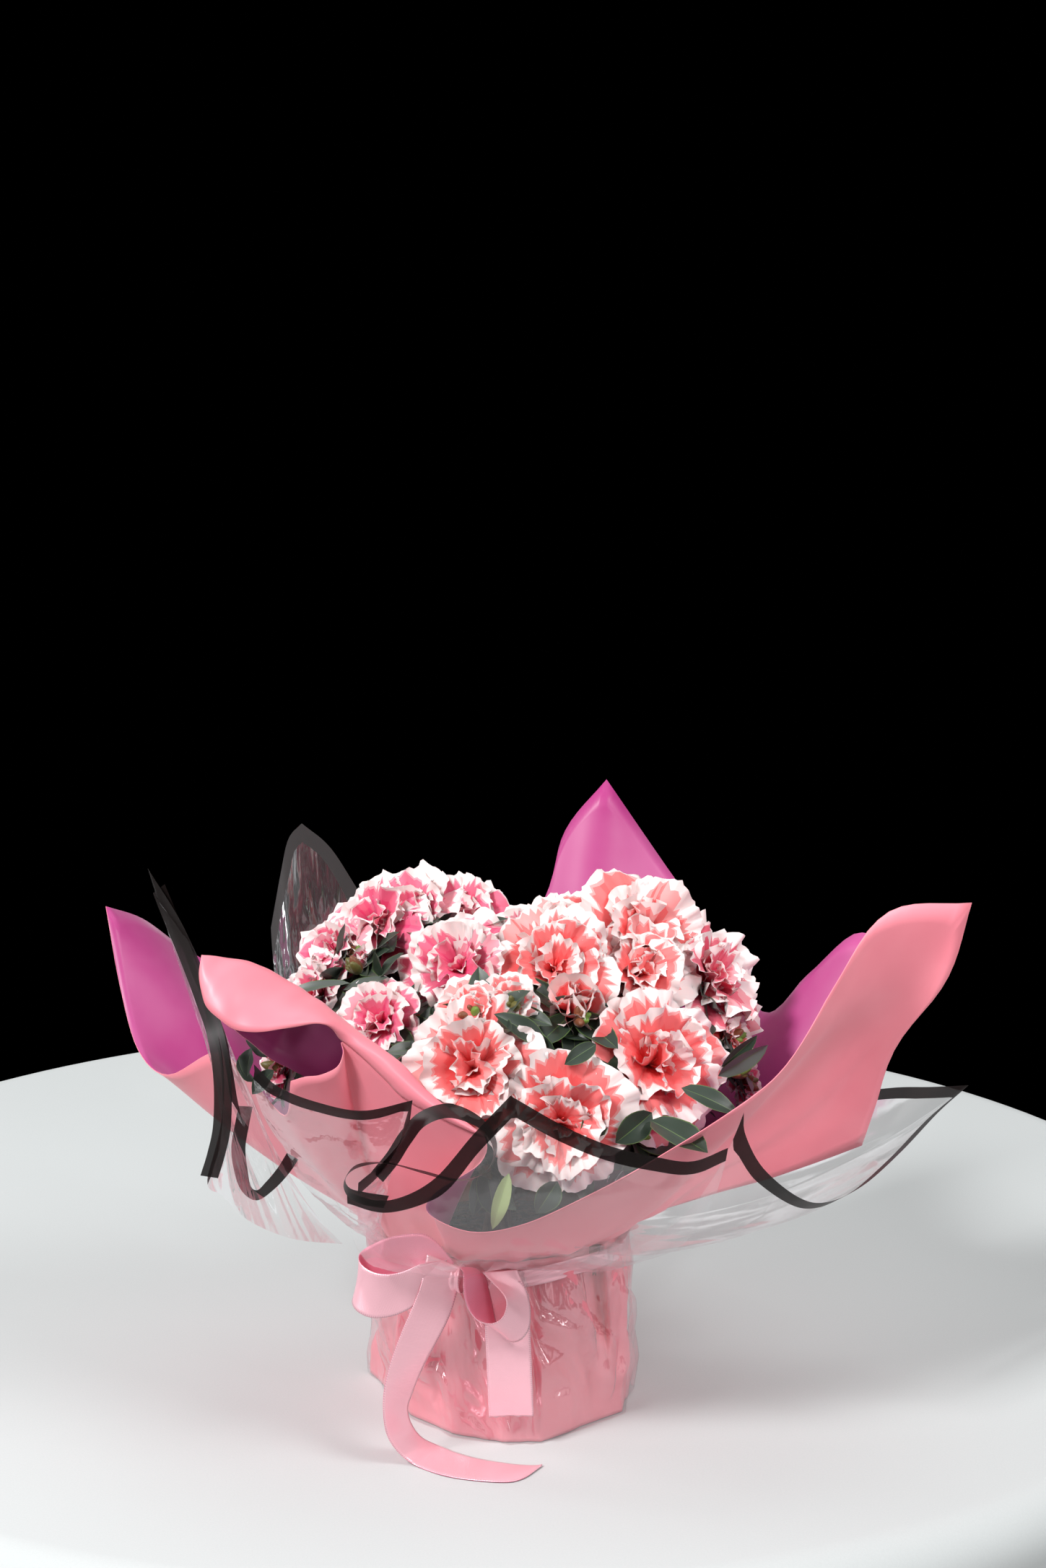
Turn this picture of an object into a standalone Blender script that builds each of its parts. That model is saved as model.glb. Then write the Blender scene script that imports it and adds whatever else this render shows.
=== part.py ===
"""A double-flowered azalea in a pot, gift-wrapped: paper, clear film and a satin bow.

+Z is up, the front (the bow's side) faces -Y, and the origin is the centre of the pot's flat underside.
Dimensions are in millimetres and are turned into metres where a mesh is made.
"""

import math
import random

import bmesh
import bpy
from mathutils import Matrix, Vector
from mathutils.bvhtree import BVHTree

# ---------------------------------------------------------------- driving dimensions (mm)
MM = 0.001
GAP = 0.3

POT_HEIGHT = 108.0
POT_RIM_RADIUS = 66.5
POT_BASE_RADIUS = 51.0
POT_WALL = 2.0
POT_LIP = 9.0
POT_SIDES = 24
SOIL_TOP = 99.0
SOIL_DOME = 2.0

NECK_HEIGHT = 108.0
NECK_RADIUS = 71.5
PAPER_THICKNESS = 0.8
FILM_THICKNESS = 0.5
FILM_NECK_RADIUS = 73.5
FILM_NECK_HEIGHT = 105.0
NECK_RISE = 0.4
LEAST_RISE = 5.0
BELLY_PLACE = 0.45

TRUNK_FOOT_RADIUS = 10.0
TRUNK_FORK_RADIUS = 6.0
TRUNK_HEIGHT = 40.0
TRUNK_LEAN = (3.0, -1.5)
TRUNK_UPRIGHT = 0.12
TRUNK_TAPER = 0.15
BOUGH_START_RADIUS = 3.0
BOUGH_TIP_RADIUS = 2.0
BOUGH_SAG = 5.0
BOUGH_SIDES = 6
TRUNK_SIDES = 10
STEM_RADIUS = 1.9
TWIG_RADIUS = 1.2
TWIG_TIP_RADIUS = 0.8

CROWN_CENTRE = Vector((12.0, 8.0, 158.0))
LEAF_LENGTH = 33.0
LEAF_WIDTH = 13.0
LEAF_THICKNESS = 0.9
LEAVES_PER_BLOOM = 4
LEAVES_PER_TUFT = 4
TUFT_COUNT = 13
LEAF_BELLY = 0.52
LEAF_DROOP = 0.10
BLOOM_LEAF_SPREAD = 1.75
TUFT_LEAF_SPREAD = 0.95
BUD_RADIUS = 1.9
LEAF_CLEARANCE = 7.0
TUFT_CENTRE = (12.0, -3.0)
TUFT_RADIUS = (92.0, 79.0)
TUFT_HEIGHT = 174.0
TUFT_WAVE = 9.0
# A bloom's rings of lobes, as shares of its radius: (reach, rise, waver in reach, waver in rise).
BLOOM_LOBES = 10
BLOOM_RINGS = [(0.36, 0.10, 0.0, 0.0), (1.0, 0.46, 0.10, 0.14), (0.66, 0.50, 0.04, 0.05),
               (0.36, 0.74, 0.03, 0.06)]
BLOOM_DEPTH = 0.42
BLOOM_EYE = 0.56
CELL_BOX = 800.0

RIBBON_WIDTH = 25.0
RIBBON_THICKNESS = 0.6
RIBBON_STEPS = 3
BAND_RADIUS = 75.4
BAND_HEIGHT = 7.0
BAND_TOP = 103.5
BAND_SIDES = 30
KNOT_PLACE = (-27.0, -83.0, 98.0)
KNOT_SIZE = (15.0, 12.0, 14.0)
KNOT_TURN = -16.0
# Each run of ribbon: its centre line, and the way its width points along it.
RIBBONS = {
    "ribbon_loop_left": {"width": 20.0, "sideways": [(0.12, 0.1, 1), (0.12, 0.1, 1)], "route": [
        (-38, -87, 94), (-52, -93, 94), (-66, -98, 92), (-77, -97, 91), (-77, -88, 93), (-66, -83, 95),
        (-52, -83, 95), (-40, -82, 95)]},
    "ribbon_loop_right": {"width": 22.0, "sideways": [(0.4, -0.8, -0.44), (0.4, -0.8, -0.44)], "route": [
        (-11, -98, 95), (-10, -98, 87), (-4, -99, 77), (4, -100, 73), (12, -100, 80), (13, -99, 90),
        (7, -99, 98), (-6, -98, 101)]},
    "ribbon_tail_short": {"width": RIBBON_WIDTH, "sideways": [(1, 0, 0), (1, 0.05, 0)], "route": [
        (4, -84, 90), (5, -82, 64), (6, -80, 40), (7, -79, 18)]},
    "ribbon_tail_long": {"width": RIBBON_WIDTH, "sideways": [
        (0.95, -0.1, 0.2), (0.9, -0.1, 0.3), (1, -0.1, 0.2), (0.95, 0.3, 0.05), (0.75, 0.65, 0),
        (0.3, 0.95, 0), (-0.1, 1, 0), (-0.2, 1, 0)], "route": [
        (-31, -96, 88), (-43, -98, 70), (-53, -100, 44), (-58, -99, 18), (-56, -98, 3.5),
        (-42, -99, 0.8), (-14, -104, 0.8), (18, -102, 0.8)]},
}

# Masses of foliage: how far up the trunk the bough that carries each one leaves it, the bough's
# tip, and the blooms on it as (centre x, y, z, radius). Each mass keeps to the space that is
# nearer to its own site than to any other.
MASSES = {
    "front": {"fork": 0.74, "tip": (12, -42, 168), "site": (12, -88, 215), "blooms": [
        (38, -103, 211, 37), (-14, -92, 227, 33), (-14, -70, 252, 17), (8, -68, 256, 15)]},
    "right_front": {"fork": 0.42, "tip": (50, -26, 168), "site": (93, -55, 224), "blooms": [
        (93, -61, 231, 38), (44, -62, 254, 16)]},
    "right": {"fork": 0.74, "tip": (60, 12, 170), "site": (134, 14, 222), "blooms": [
        (128, 10, 252, 29), (136, -1, 218, 19), (142, -8, 192, 14), (132, 42, 222, 24)]},
    "top": {"fork": 1.0, "tip": (34, 10, 192), "site": (58, 4, 272), "blooms": [
        (33, -40, 270, 26), (79, 14, 279, 33), (83, -14, 262, 24), (37, 18, 281, 18),
        (13, -2, 280, 15)]},
    "left_front": {"fork": 0.42, "tip": (-20, -22, 178), "site": (-46, -48, 240), "blooms": [
        (-22, -33, 268, 29), (-68, -45, 240, 22), (-46, -72, 214, 15)]},
    "left": {"fork": 0.74, "tip": (-38, 4, 170), "site": (-112, 4, 226), "blooms": [
        (-97, 20, 266, 17), (-108, 8, 242, 19), (-80, 12, 261, 15), (-126, -12, 202, 15),
        (-116, 34, 216, 24)]},
    "back_left": {"fork": 0.42, "tip": (-26, 30, 176), "site": (-54, 48, 268), "blooms": [
        (-25, 30, 282, 20), (-52, 31, 284, 20), (-73, 27, 279, 22), (-70, 66, 246, 28)]},
    "back": {"fork": 0.74, "tip": (12, 52, 172), "site": (10, 92, 226), "blooms": [
        (-14, 74, 250, 30), (34, 84, 234, 27), (-32, 88, 208, 23)]},
    "back_right": {"fork": 0.42, "tip": (52, 44, 170), "site": (86, 78, 228), "blooms": [
        (78, 60, 256, 28), (84, 70, 214, 24)]},
}

# The wrapping paper's free edge, run by run between its sharp corners. Each station is
# (direction at the neck in degrees, edge x, y, z, how far the paper bellies outwards). The
# directions count down from the back corner, by the right, the front and the left, back to it.
PAPER_RUNS = {
    "right_edge_of_back_corner": [
        (62, 65, 150, 333, -4), (50, 99, 142, 284, 2), (38, 124, 124, 251, 8), (22, 156, 78, 208, 14),
        (14, 181, 60, 236, 16), (8, 211, 50, 264, 22), (3, 234, 26, 240, 20), (-3, 207, -10, 155, 6)],
    "end_of_right_corner": [
        (-3, 207, -10, 155, 6), (-8, 223, -30, 216, 26), (-12, 250, -38, 262, 36), (-17, 261, -40, 305, 40)],
    "front_edge": [
        (-17, 261, -40, 305, 40), (-24, 213, -62, 306, 40), (-34, 180, -88, 272, 34),
        (-45, 153, -108, 235, 22), (-53, 127, -123, 217, 14), (-64, 85, -132, 189, 8),
        (-78, 42, -133, 165, 4), (-90, 12, -134, 152, 2), (-100, -14, -132, 148, 2),
        (-108, -36, -131, 158, 2), (-113, -32, -126, 168, 4), (-117, -8, -124, 184, 6),
        (-121, 0, -119, 203, 8), (-128, -34, -120, 218, 10), (-138, -74, -116, 232, 12),
        (-147, -108, -108, 228, 12)],
    "left_corner_below": [
        (-147, -108, -108, 230, 14), (-154, -116, -94, 203, 10), (-162, -134, -78, 216, 10),
        (-168, -154, -58, 225, 14), (-174, -184, -30, 203, 14), (-180, -205, 8, 206, 12),
        (-188, -218, 36, 236, 12), (-197, -228, 60, 277, 12)],
    "left_corner_above": [
        (-197, -228, 60, 277, 12), (-205, -210, 82, 264, 10), (-212, -192, 100, 244, 8)],
    "back_edge": [
        (-212, -192, 100, 244, 8), (-228, -114, 100, 196, 8), (-246, -60, 112, 180, 8),
        (-264, -10, 120, 198, 6), (-280, 27, 132, 262, 2), (-290, 40, 146, 302, -4),
        (-298, 65, 150, 333, -4)],
}
# Each paper piece takes the columns between two of those directions, less half a seam.
PAPER_PIECES = {
    "paper_back_corner": [(-260, -298), (63, 25)], "paper_right_corner": [(25, -50)],
    "paper_front_lip": [(-50, -111)], "paper_front_left": [(-111, -151)],
    "paper_left_corner": [(-151, -260)]}
HALF_SEAM = 0.4
PAPER_ROWS = 5
PAPER_STEPS = 2

# The rolled corner: a cone of paper along the front-left edge, open at its left end.
ROLL_START = (-20.0, -110.0, 216.0)
ROLL_END = (-128.0, -98.0, 262.0)
ROLL_START_RADIUS = 2.5
ROLL_END_RADIUS = 21.0
ROLL_SLIT = 100.0
ROLL_ROWS = 4
ROLL_COLUMNS = 10

# Clear film corners: (neck directions from, to), the free edge's points, and the belly.
FILM_CORNERS = {
    "film_front": {"neck": (-120, -50), "belly": 54, "edge": [
        (-80, -146, 175), (-57, -154, 173), (-33, -160, 185), (8, -167, 235), (60, -165, 208),
        (98, -160, 197), (122, -148, 200)]},
    "film_front_left": {"neck": (-150, -124), "belly": 32, "edge": [
        (-127, -133, 238), (-114, -143, 231), (-93, -153, 226), (-69, -158, 224), (-45, -160, 229)]},
    "film_right": {"neck": (-47, 24), "belly": 42, "edge": [
        (133, -146, 214), (152, -126, 186), (186, -76, 143), (222, -42, 158), (267, -8, 189),
        (232, 30, 176), (180, 66, 170)]},
    "film_back_left": {"neck": (112, 146), "belly": 52, "edge": [
        (-58, 150, 220), (-84, 146, 262), (-106, 142, 290), (-119, 140, 312), (-134, 136, 298),
        (-146, 132, 250)]},
    "film_left": {"foot": [(-86, -54, 112), (-112, -78, 124), (-138, -94, 140), (-157, -92, 158)],
                  "belly": 6, "edge": [
        (-142, -104, 212), (-152, -88, 262), (-190, -50, 327), (-168, -70, 276), (-157, -86, 230),
        (-158, -90, 172)]},
}
FILM_ROWS = 5
FILM_STEPS = 2

# Where the sleeve's creased corners stand on the ground, as (x, y).
SLEEVE_CORNERS = [(-74, 30), (-49, -31), (-26, -58), (3, -69), (24, -68), (71, -27), (76, 12),
                  (52, 56), (6, 74), (-42, 66)]
SLEEVE_ROWS = 4
SLEEVE_COLUMNS = 20


# ---------------------------------------------------------------- small helpers
def clear_scene():
    for thing in list(bpy.data.objects):
        bpy.data.objects.remove(thing, do_unlink=True)


def material(name, colour, roughness, metallic=0.0, alpha=1.0):
    made = bpy.data.materials.new(name)
    made.use_nodes = True
    shader = made.node_tree.nodes["Principled BSDF"]
    shader.inputs["Base Color"].default_value = (*colour, 1.0)
    shader.inputs["Roughness"].default_value = roughness
    shader.inputs["Metallic"].default_value = metallic
    shader.inputs["Alpha"].default_value = alpha
    made.diffuse_color = (*colour, 1.0)
    return made


def object_from(name, points, faces, finish, collection=None):
    """One object from points in millimetres, with its faces turned to point out."""
    mesh = bpy.data.meshes.new(name)
    mesh.from_pydata([Vector(p) * MM for p in points], [], faces)
    work = bmesh.new()
    work.from_mesh(mesh)
    bmesh.ops.recalc_face_normals(work, faces=work.faces)
    work.to_mesh(mesh)
    work.free()
    made = bpy.data.objects.new(name, mesh)
    (collection or bpy.context.scene.collection).objects.link(made)
    if finish:
        mesh.materials.append(finish)
    return made


def on_spline(points, place):
    """The point at place (0 to 1) on a smooth curve through the points."""
    along = min(max(place, 0.0), 1.0) * (len(points) - 1)
    i = min(int(along), len(points) - 2)
    t = along - i
    p1, p2 = Vector(points[i]), Vector(points[i + 1])
    p0 = Vector(points[i - 1]) if i > 0 else p1 * 2 - p2
    p3 = Vector(points[i + 2]) if i + 2 < len(points) else p2 * 2 - p1
    return 0.5 * (p1 * 2 + (p2 - p0) * t + (p0 * 2 - p1 * 5 + p2 * 4 - p3) * t * t
                  + (p1 * 3 - p0 - p2 * 3 + p3) * t ** 3)


def around(axis):
    """Two unit vectors square to an axis and to each other."""
    first = axis.orthogonal().normalized()
    return first, axis.cross(first).normalized()


def limb_mesh(path, radii, sides):
    """Points and faces of one tapering limb with flat ends."""
    points, faces = [], []
    path = [Vector(p) for p in path]
    first, second = around((path[-1] - path[0]).normalized())
    for i, centre in enumerate(path):
        ahead = path[min(i + 1, len(path) - 1)] - path[max(i - 1, 0)]
        ahead.normalize()
        across = (first - ahead * first.dot(ahead)).normalized()
        over = ahead.cross(across)
        for k in range(sides):
            angle = 2 * math.pi * k / sides
            points.append(centre + (across * math.cos(angle) + over * math.sin(angle)) * radii[i])
    for i in range(len(path) - 1):
        for k in range(sides):
            a, b = i * sides + k, i * sides + (k + 1) % sides
            faces.append((a, b, b + sides, a + sides))
    faces.append(tuple(range(sides)))
    faces.append(tuple(range(len(points) - sides, len(points))))
    return points, faces


def turned_mesh(profile, sides):
    """Points and faces of a closed profile of (radius, height) turned round Z."""
    points, faces, rings = [], [], []
    for radius, height in profile:
        if radius == 0:
            rings.append([len(points)] * sides)
            points.append((0, 0, height))
        else:
            rings.append([len(points) + k for k in range(sides)])
            for k in range(sides):
                angle = 2 * math.pi * k / sides
                points.append((radius * math.cos(angle), radius * math.sin(angle), height))
    closed = profile[0][0] > 0 and profile[-1][0] > 0
    for i in range(len(rings) if closed else len(rings) - 1):
        low, high = rings[i], rings[(i + 1) % len(rings)]
        for k in range(sides):
            n = (k + 1) % sides
            corners = list(dict.fromkeys((low[k], low[n], high[n], high[k])))
            faces.append(tuple(corners))
    return points, faces


def sheet(name, rows, thickness, finish, closed=False):
    """A thin closed shell whose middle surface runs through rows of points."""
    columns = len(rows[0])
    points = [p for row in rows for p in row]
    faces = []
    for i in range(len(rows) - 1):
        for k in range(columns if closed else columns - 1):
            n = (k + 1) % columns
            faces.append((i * columns + k, i * columns + n, (i + 1) * columns + n, (i + 1) * columns + k))
    made = object_from(name, points, faces, finish)
    thick = made.modifiers.new("thickness", "SOLIDIFY")
    thick.thickness = thickness * MM
    thick.offset = 0.0
    thick.use_even_offset = False
    return made


def strip(name, centres, sideways, width, finish):
    """A ribbon along centres, whose width at each point lies along sideways."""
    rows = [[], []]
    for centre, side in zip(centres, sideways):
        half = Vector(side).normalized() * width / 2
        rows[0].append(Vector(centre) - half)
        rows[1].append(Vector(centre) + half)
    return sheet(name, rows, RIBBON_THICKNESS, finish)


# ---------------------------------------------------------------- pot, soil, trunk and boughs
def build_pot(finish):
    """A tapering plastic pot whose wall steps out at the lip."""
    wall_top = POT_RIM_RADIUS - POT_WALL
    lip_foot = POT_HEIGHT - POT_LIP
    profile = [
        (0, 0), (POT_BASE_RADIUS, 0), (wall_top, lip_foot), (POT_RIM_RADIUS, lip_foot),
        (POT_RIM_RADIUS, POT_HEIGHT), (wall_top, POT_HEIGHT), (wall_top - POT_WALL, lip_foot),
        (POT_BASE_RADIUS - POT_WALL, POT_WALL), (0, POT_WALL)]
    object_from("pot", *turned_mesh(profile, POT_SIDES), finish)


def build_soil(finish):
    """The root ball that fills the pot, slightly domed on top."""
    floor = POT_WALL + GAP
    foot = POT_BASE_RADIUS - POT_WALL - 2 * GAP
    shoulder = POT_RIM_RADIUS - 2 * POT_WALL - 2 * GAP
    profile = [(0, floor), (foot, floor), (shoulder, SOIL_TOP - SOIL_DOME),
               (TRUNK_FOOT_RADIUS * 2, SOIL_TOP), (0, SOIL_TOP)]
    object_from("root_ball", *turned_mesh(profile, POT_SIDES), finish)


def trunk_path():
    """The trunk's centre line and radii, from the flat cut at the soil to the fork."""
    path, radii = [], []
    for t in (0.0, TRUNK_UPRIGHT, 0.3, 0.65, 1.0):
        lean = max(t - TRUNK_UPRIGHT, 0.0)
        path.append((TRUNK_LEAN[0] * lean, TRUNK_LEAN[1] * lean, SOIL_TOP + GAP + TRUNK_HEIGHT * t))
        flare = (TRUNK_FOOT_RADIUS - TRUNK_FORK_RADIUS * (1 + TRUNK_TAPER)) * (1 - t) ** 5
        radii.append(TRUNK_FORK_RADIUS * (1 + TRUNK_TAPER * (1 - t)) + flare)
    return path, radii


def build_trunk(finish):
    """The short stem inside the plant."""
    path, radii = trunk_path()
    object_from("trunk", *limb_mesh(path, radii, TRUNK_SIDES), finish)


def bough_path(tip, height):
    """A bough's centre line from inside the trunk at a height to its tip."""
    tip = Vector(tip)
    start = Vector((TRUNK_LEAN[0] * 0.6, TRUNK_LEAN[1] * 0.6, height))
    middle = (start + tip) / 2 - Vector((0, 0, BOUGH_SAG))
    return [start, start.lerp(middle, 0.55), middle, middle.lerp(tip, 0.5), tip]


def build_boughs(finish):
    """One bough to each mass, cut clear of the trunk that it grows from."""
    path, radii = trunk_path()
    path[-1] = (path[-1][0], path[-1][1], path[-1][2] + GAP)
    room_radii = [radius + GAP * 1.1 for radius in radii]
    room = object_from("room_for_trunk", *limb_mesh(path, room_radii, TRUNK_SIDES), None)
    room.hide_render = True
    room.display_type = "WIRE"
    directions = {}
    for name, mass in MASSES.items():
        centres = bough_path(mass["tip"], SOIL_TOP + TRUNK_HEIGHT * mass["fork"])
        steps = len(centres) - 1
        sizes = [BOUGH_START_RADIUS + (BOUGH_TIP_RADIUS - BOUGH_START_RADIUS) * i / steps
                 for i in range(steps + 1)]
        made = object_from("bough_" + name, *limb_mesh(centres, sizes, BOUGH_SIDES), finish)
        fit = made.modifiers.new("clear of the trunk", "BOOLEAN")
        fit.operation = "DIFFERENCE"
        fit.object = room
        directions[name] = (centres[-1] - centres[-2]).normalized()
    return directions


# ---------------------------------------------------------------- masses of foliage
def limits_of(prefixes):
    """One search tree over the wrap and the limbs, which leaves keep clear of."""
    work = bmesh.new()
    for thing in bpy.data.objects:
        if thing.name.startswith(prefixes):
            work.from_mesh(thing.data)
    tree = BVHTree.FromBMesh(work)
    work.free()
    return tree


def bloom_mesh(centre, facing, size, chance):
    """A double bloom: a ruffled cup with a raised tuft of inner petals."""
    first, second = around(facing)
    turn = chance.random() * math.tau
    base = centre - facing * size * BLOOM_DEPTH
    points = [base]
    for reach, rise, wave, lift in BLOOM_RINGS:
        for k in range(BLOOM_LOBES):
            angle = turn + math.tau * k / BLOOM_LOBES
            swing = 1 if k % 2 == 0 else -1
            radius = size * (reach + wave * swing + chance.uniform(-wave, wave) * 0.4)
            height = size * (rise - lift * swing + chance.uniform(-lift, lift) * 0.4)
            points.append(base + (first * math.cos(angle) + second * math.sin(angle)) * radius
                          + facing * height)
    points.append(base + facing * size * BLOOM_EYE)
    faces = []
    last = 1 + (len(BLOOM_RINGS) - 1) * BLOOM_LOBES
    for k in range(BLOOM_LOBES):
        n = (k + 1) % BLOOM_LOBES
        faces.append((0, 1 + n, 1 + k))
        for low in range(1, last, BLOOM_LOBES):
            high = low + BLOOM_LOBES
            faces.append((low + k, low + n, high + n))
            faces.append((low + k, high + n, high + k))
        faces.append((last + k, last + n, len(points) - 1))
    return points, faces


def leaf_mesh(root, along, upward, length, width):
    """A leaf of eight faces: a flat lens with a raised midrib and a drooping tip."""
    side = along.cross(upward).normalized()
    over = side.cross(along).normalized()
    middle = root + along * length * LEAF_BELLY
    tip = root + along * length - over * length * LEAF_DROOP
    left = middle - side * width / 2
    right = middle + side * width / 2
    top = middle + over * LEAF_THICKNESS / 2
    under = middle - over * LEAF_THICKNESS / 2
    points = [root, right, tip, left, top, under]
    faces = [(0, 1, 4), (1, 2, 4), (2, 3, 4), (3, 0, 4), (1, 0, 5), (2, 1, 5), (3, 2, 5), (0, 3, 5)]
    return points, faces


def tufts():
    """Leafy tips round the crown's lower rim, as (place, direction)."""
    places = []
    for k in range(TUFT_COUNT):
        angle = math.tau * (k + 0.35) / TUFT_COUNT
        rise = TUFT_WAVE * math.cos(k * 2.4)
        place = Vector((TUFT_CENTRE[0] + TUFT_RADIUS[0] * math.cos(angle),
                        TUFT_CENTRE[1] + TUFT_RADIUS[1] * math.sin(angle), TUFT_HEIGHT + rise))
        places.append((place, (place - CROWN_CENTRE).normalized()))
    return places


def nearest_mass(place):
    return min(MASSES, key=lambda name: (Vector(MASSES[name]["site"]) - place).length)


def cell_of(name):
    """The convex space of the points nearer to this mass's site than to any other."""
    site = Vector(MASSES[name]["site"])
    work = bmesh.new()
    bmesh.ops.create_cube(work, size=CELL_BOX * MM)
    for other, mass in MASSES.items():
        if other == name:
            continue
        away = (Vector(mass["site"]) - site).normalized()
        wall = (Vector(mass["site"]) + site) / 2 - away * GAP * 0.6
        everything = work.verts[:] + work.edges[:] + work.faces[:]
        cut = bmesh.ops.bisect_plane(work, geom=everything, dist=1e-7, plane_co=wall * MM,
                                     plane_no=away, clear_outer=True)
        rim = [e for e in cut["geom_cut"] if isinstance(e, bmesh.types.BMEdge)]
        if rim:
            bmesh.ops.contextual_create(work, geom=rim)
    bmesh.ops.recalc_face_normals(work, faces=work.faces)
    mesh = bpy.data.meshes.new(name + "_cell")
    work.to_mesh(mesh)
    work.free()
    made = bpy.data.objects.new(name + "_cell", mesh)
    bpy.context.scene.collection.objects.link(made)
    return made


def twig_between(start, end, start_radius):
    """A three-sided twig that bows a little upwards."""
    middle = start.lerp(end, 0.5) + Vector((0, 0, (end - start).length * 0.07))
    return limb_mesh([start, middle, end], [start_radius, (start_radius + TWIG_TIP_RADIUS) / 2,
                                            TWIG_TIP_RADIUS], 3)


def mass_shapes(name, direction, limits, chance):
    """Stem, twigs, leaves and blooms of one mass, as a list of (points, faces)."""
    mass = MASSES[name]
    start = Vector(mass["tip"]) + direction * GAP
    site = Vector(mass["site"])
    knee = start + direction * 9
    hub = knee.lerp(site, 0.45)
    shapes = [limb_mesh([start, knee, hub], [STEM_RADIUS, STEM_RADIUS * 0.95, STEM_RADIUS * 0.8], 5)]
    joints = [knee, knee.lerp(hub, 0.5), hub]
    targets = []
    for x, y, z, radius in mass["blooms"]:
        centre = Vector((x, y, z))
        facing = (centre - CROWN_CENTRE).normalized()
        targets.append((centre - facing * radius * 0.40, facing, centre, radius))
    for place, facing in tufts():
        if nearest_mass(place) == name:
            targets.append((place, facing, None, 0))
    targets.sort(key=lambda item: (item[0] - hub).length)
    taken = []
    for base, facing, centre, radius in targets:
        joint = min(joints, key=lambda p: (p - base).length + 0.4 * (p - hub).length)
        shapes.append(twig_between(joint, base + facing * 1.5, TWIG_RADIUS))
        joints.append(joint.lerp(base, 0.55))
        if centre is not None:
            shapes.append(bloom_mesh(centre, facing, radius, chance))
        shapes += whorl(base, facing, radius, mass["blooms"], taken, limits, chance)
    return shapes


def bud_mesh(centre):
    """A small eight-sided bud that the roots of a whorl of leaves sink into."""
    ways = [Vector(way) * BUD_RADIUS for way in
            ((1, 0, 0), (0, 1, 0), (-1, 0, 0), (0, -1, 0), (0, 0, 1), (0, 0, -1))]
    faces = [(k, (k + 1) % 4, 4) for k in range(4)] + [((k + 1) % 4, k, 5) for k in range(4)]
    return [centre + way for way in ways], faces


def whorl(base, facing, radius, blooms, taken, limits, chance):
    """Leaves round a twig's tip, without those that would run into a bloom, a leaf or a limit."""
    first, second = around(facing)
    count = LEAVES_PER_BLOOM if radius else LEAVES_PER_TUFT
    spread = BLOOM_LEAF_SPREAD if radius else TUFT_LEAF_SPREAD
    turn = chance.random() * math.tau
    centre = base - facing * (3.0 if radius else 0.0)
    shapes = [bud_mesh(centre)]
    for k in range(count):
        angle = turn + math.tau * k / count + chance.uniform(-0.2, 0.2)
        outward = first * math.cos(angle) + second * math.sin(angle)
        lean = spread + chance.uniform(-0.2, 0.2)
        along = (facing * math.cos(lean) + outward * math.sin(lean)).normalized()
        size = chance.uniform(0.85, 1.15)
        length = LEAF_LENGTH * size
        reach = [centre + along * length * share for share in (0.5, 1.0)]
        in_bloom = any((Vector(b[:3]) - p).length < b[3] * 0.85 for b in blooms for p in reach)
        crowded = any((other - reach[0]).length < LEAF_CLEARANCE for other in taken)
        near_limit = any(limits.find_nearest(p * MM)[3] < LEAF_CLEARANCE * MM * 0.6 for p in reach)
        through_limit = limits.ray_cast(centre * MM, along, length * MM)[0] is not None
        if in_bloom or crowded or near_limit or through_limit:
            continue
        taken.append(reach[0])
        shapes.append(leaf_mesh(centre - along * 0.4, along, facing, length, LEAF_WIDTH * size))
    return shapes


def boolean(made, operation, other=None, collection=None):
    """Applies one Boolean to an object's mesh. The fast solver is needed: the exact one fails here."""
    fuse = made.modifiers.new("join", "BOOLEAN")
    fuse.operation = operation
    fuse.solver = "MANIFOLD"
    if collection:
        fuse.operand_type = "COLLECTION"
        fuse.collection = collection
    else:
        fuse.object = other
    evaluated = made.evaluated_get(bpy.context.evaluated_depsgraph_get())
    mesh = bpy.data.meshes.new_from_object(evaluated)
    made.modifiers.remove(fuse)
    made.data = mesh


def keep_largest(made):
    """Drops loose scraps, and any hollow that fusing sealed."""
    work = bmesh.new()
    work.from_mesh(made.data)
    left = set(work.verts)
    groups = []
    while left:
        seed = left.pop()
        group, frontier = {seed}, [seed]
        while frontier:
            vertex = frontier.pop()
            for edge in vertex.link_edges:
                other = edge.other_vert(vertex)
                if other in left:
                    left.discard(other)
                    group.add(other)
                    frontier.append(other)
        groups.append(group)
    largest = max(groups, key=len)
    scraps = [v for group in groups if group is not largest for v in group]
    bmesh.ops.delete(work, geom=scraps, context="VERTS")
    work.to_mesh(made.data)
    work.free()


def build_mass(name, direction, limits, finish, seed):
    """One mass of foliage: all its shapes fused, then cut to the mass's own space."""
    chance = random.Random(seed)
    shapes = mass_shapes(name, direction, limits, chance)
    parts = bpy.data.collections.new(name + "_parts")
    bpy.context.scene.collection.children.link(parts)
    made = object_from("mass_" + name, *shapes[0], finish)
    for number, shape in enumerate(shapes[1:]):
        object_from(f"{name}_piece_{number}", *shape, None, parts)
    boolean(made, "UNION", collection=parts)
    for piece in list(parts.objects):
        bpy.data.objects.remove(piece, do_unlink=True)
    bpy.data.collections.remove(parts)
    cell = cell_of(name)
    boolean(made, "INTERSECT", other=cell)
    bpy.data.objects.remove(cell, do_unlink=True)
    keep_largest(made)


# ---------------------------------------------------------------- wrapping paper and film
def neck_point(degrees, radius, height):
    angle = math.radians(degrees)
    return Vector((radius * math.cos(angle), radius * math.sin(angle), height))


def column_at(stations, place):
    """(direction at the neck, edge point, belly) at a place (0 to 1) along one run of the edge."""
    edge = on_spline([s[1:4] for s in stations], place)
    direction, belly, _ = on_spline([(s[0], s[4], 0) for s in stations], place)
    return direction, edge, belly


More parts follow.
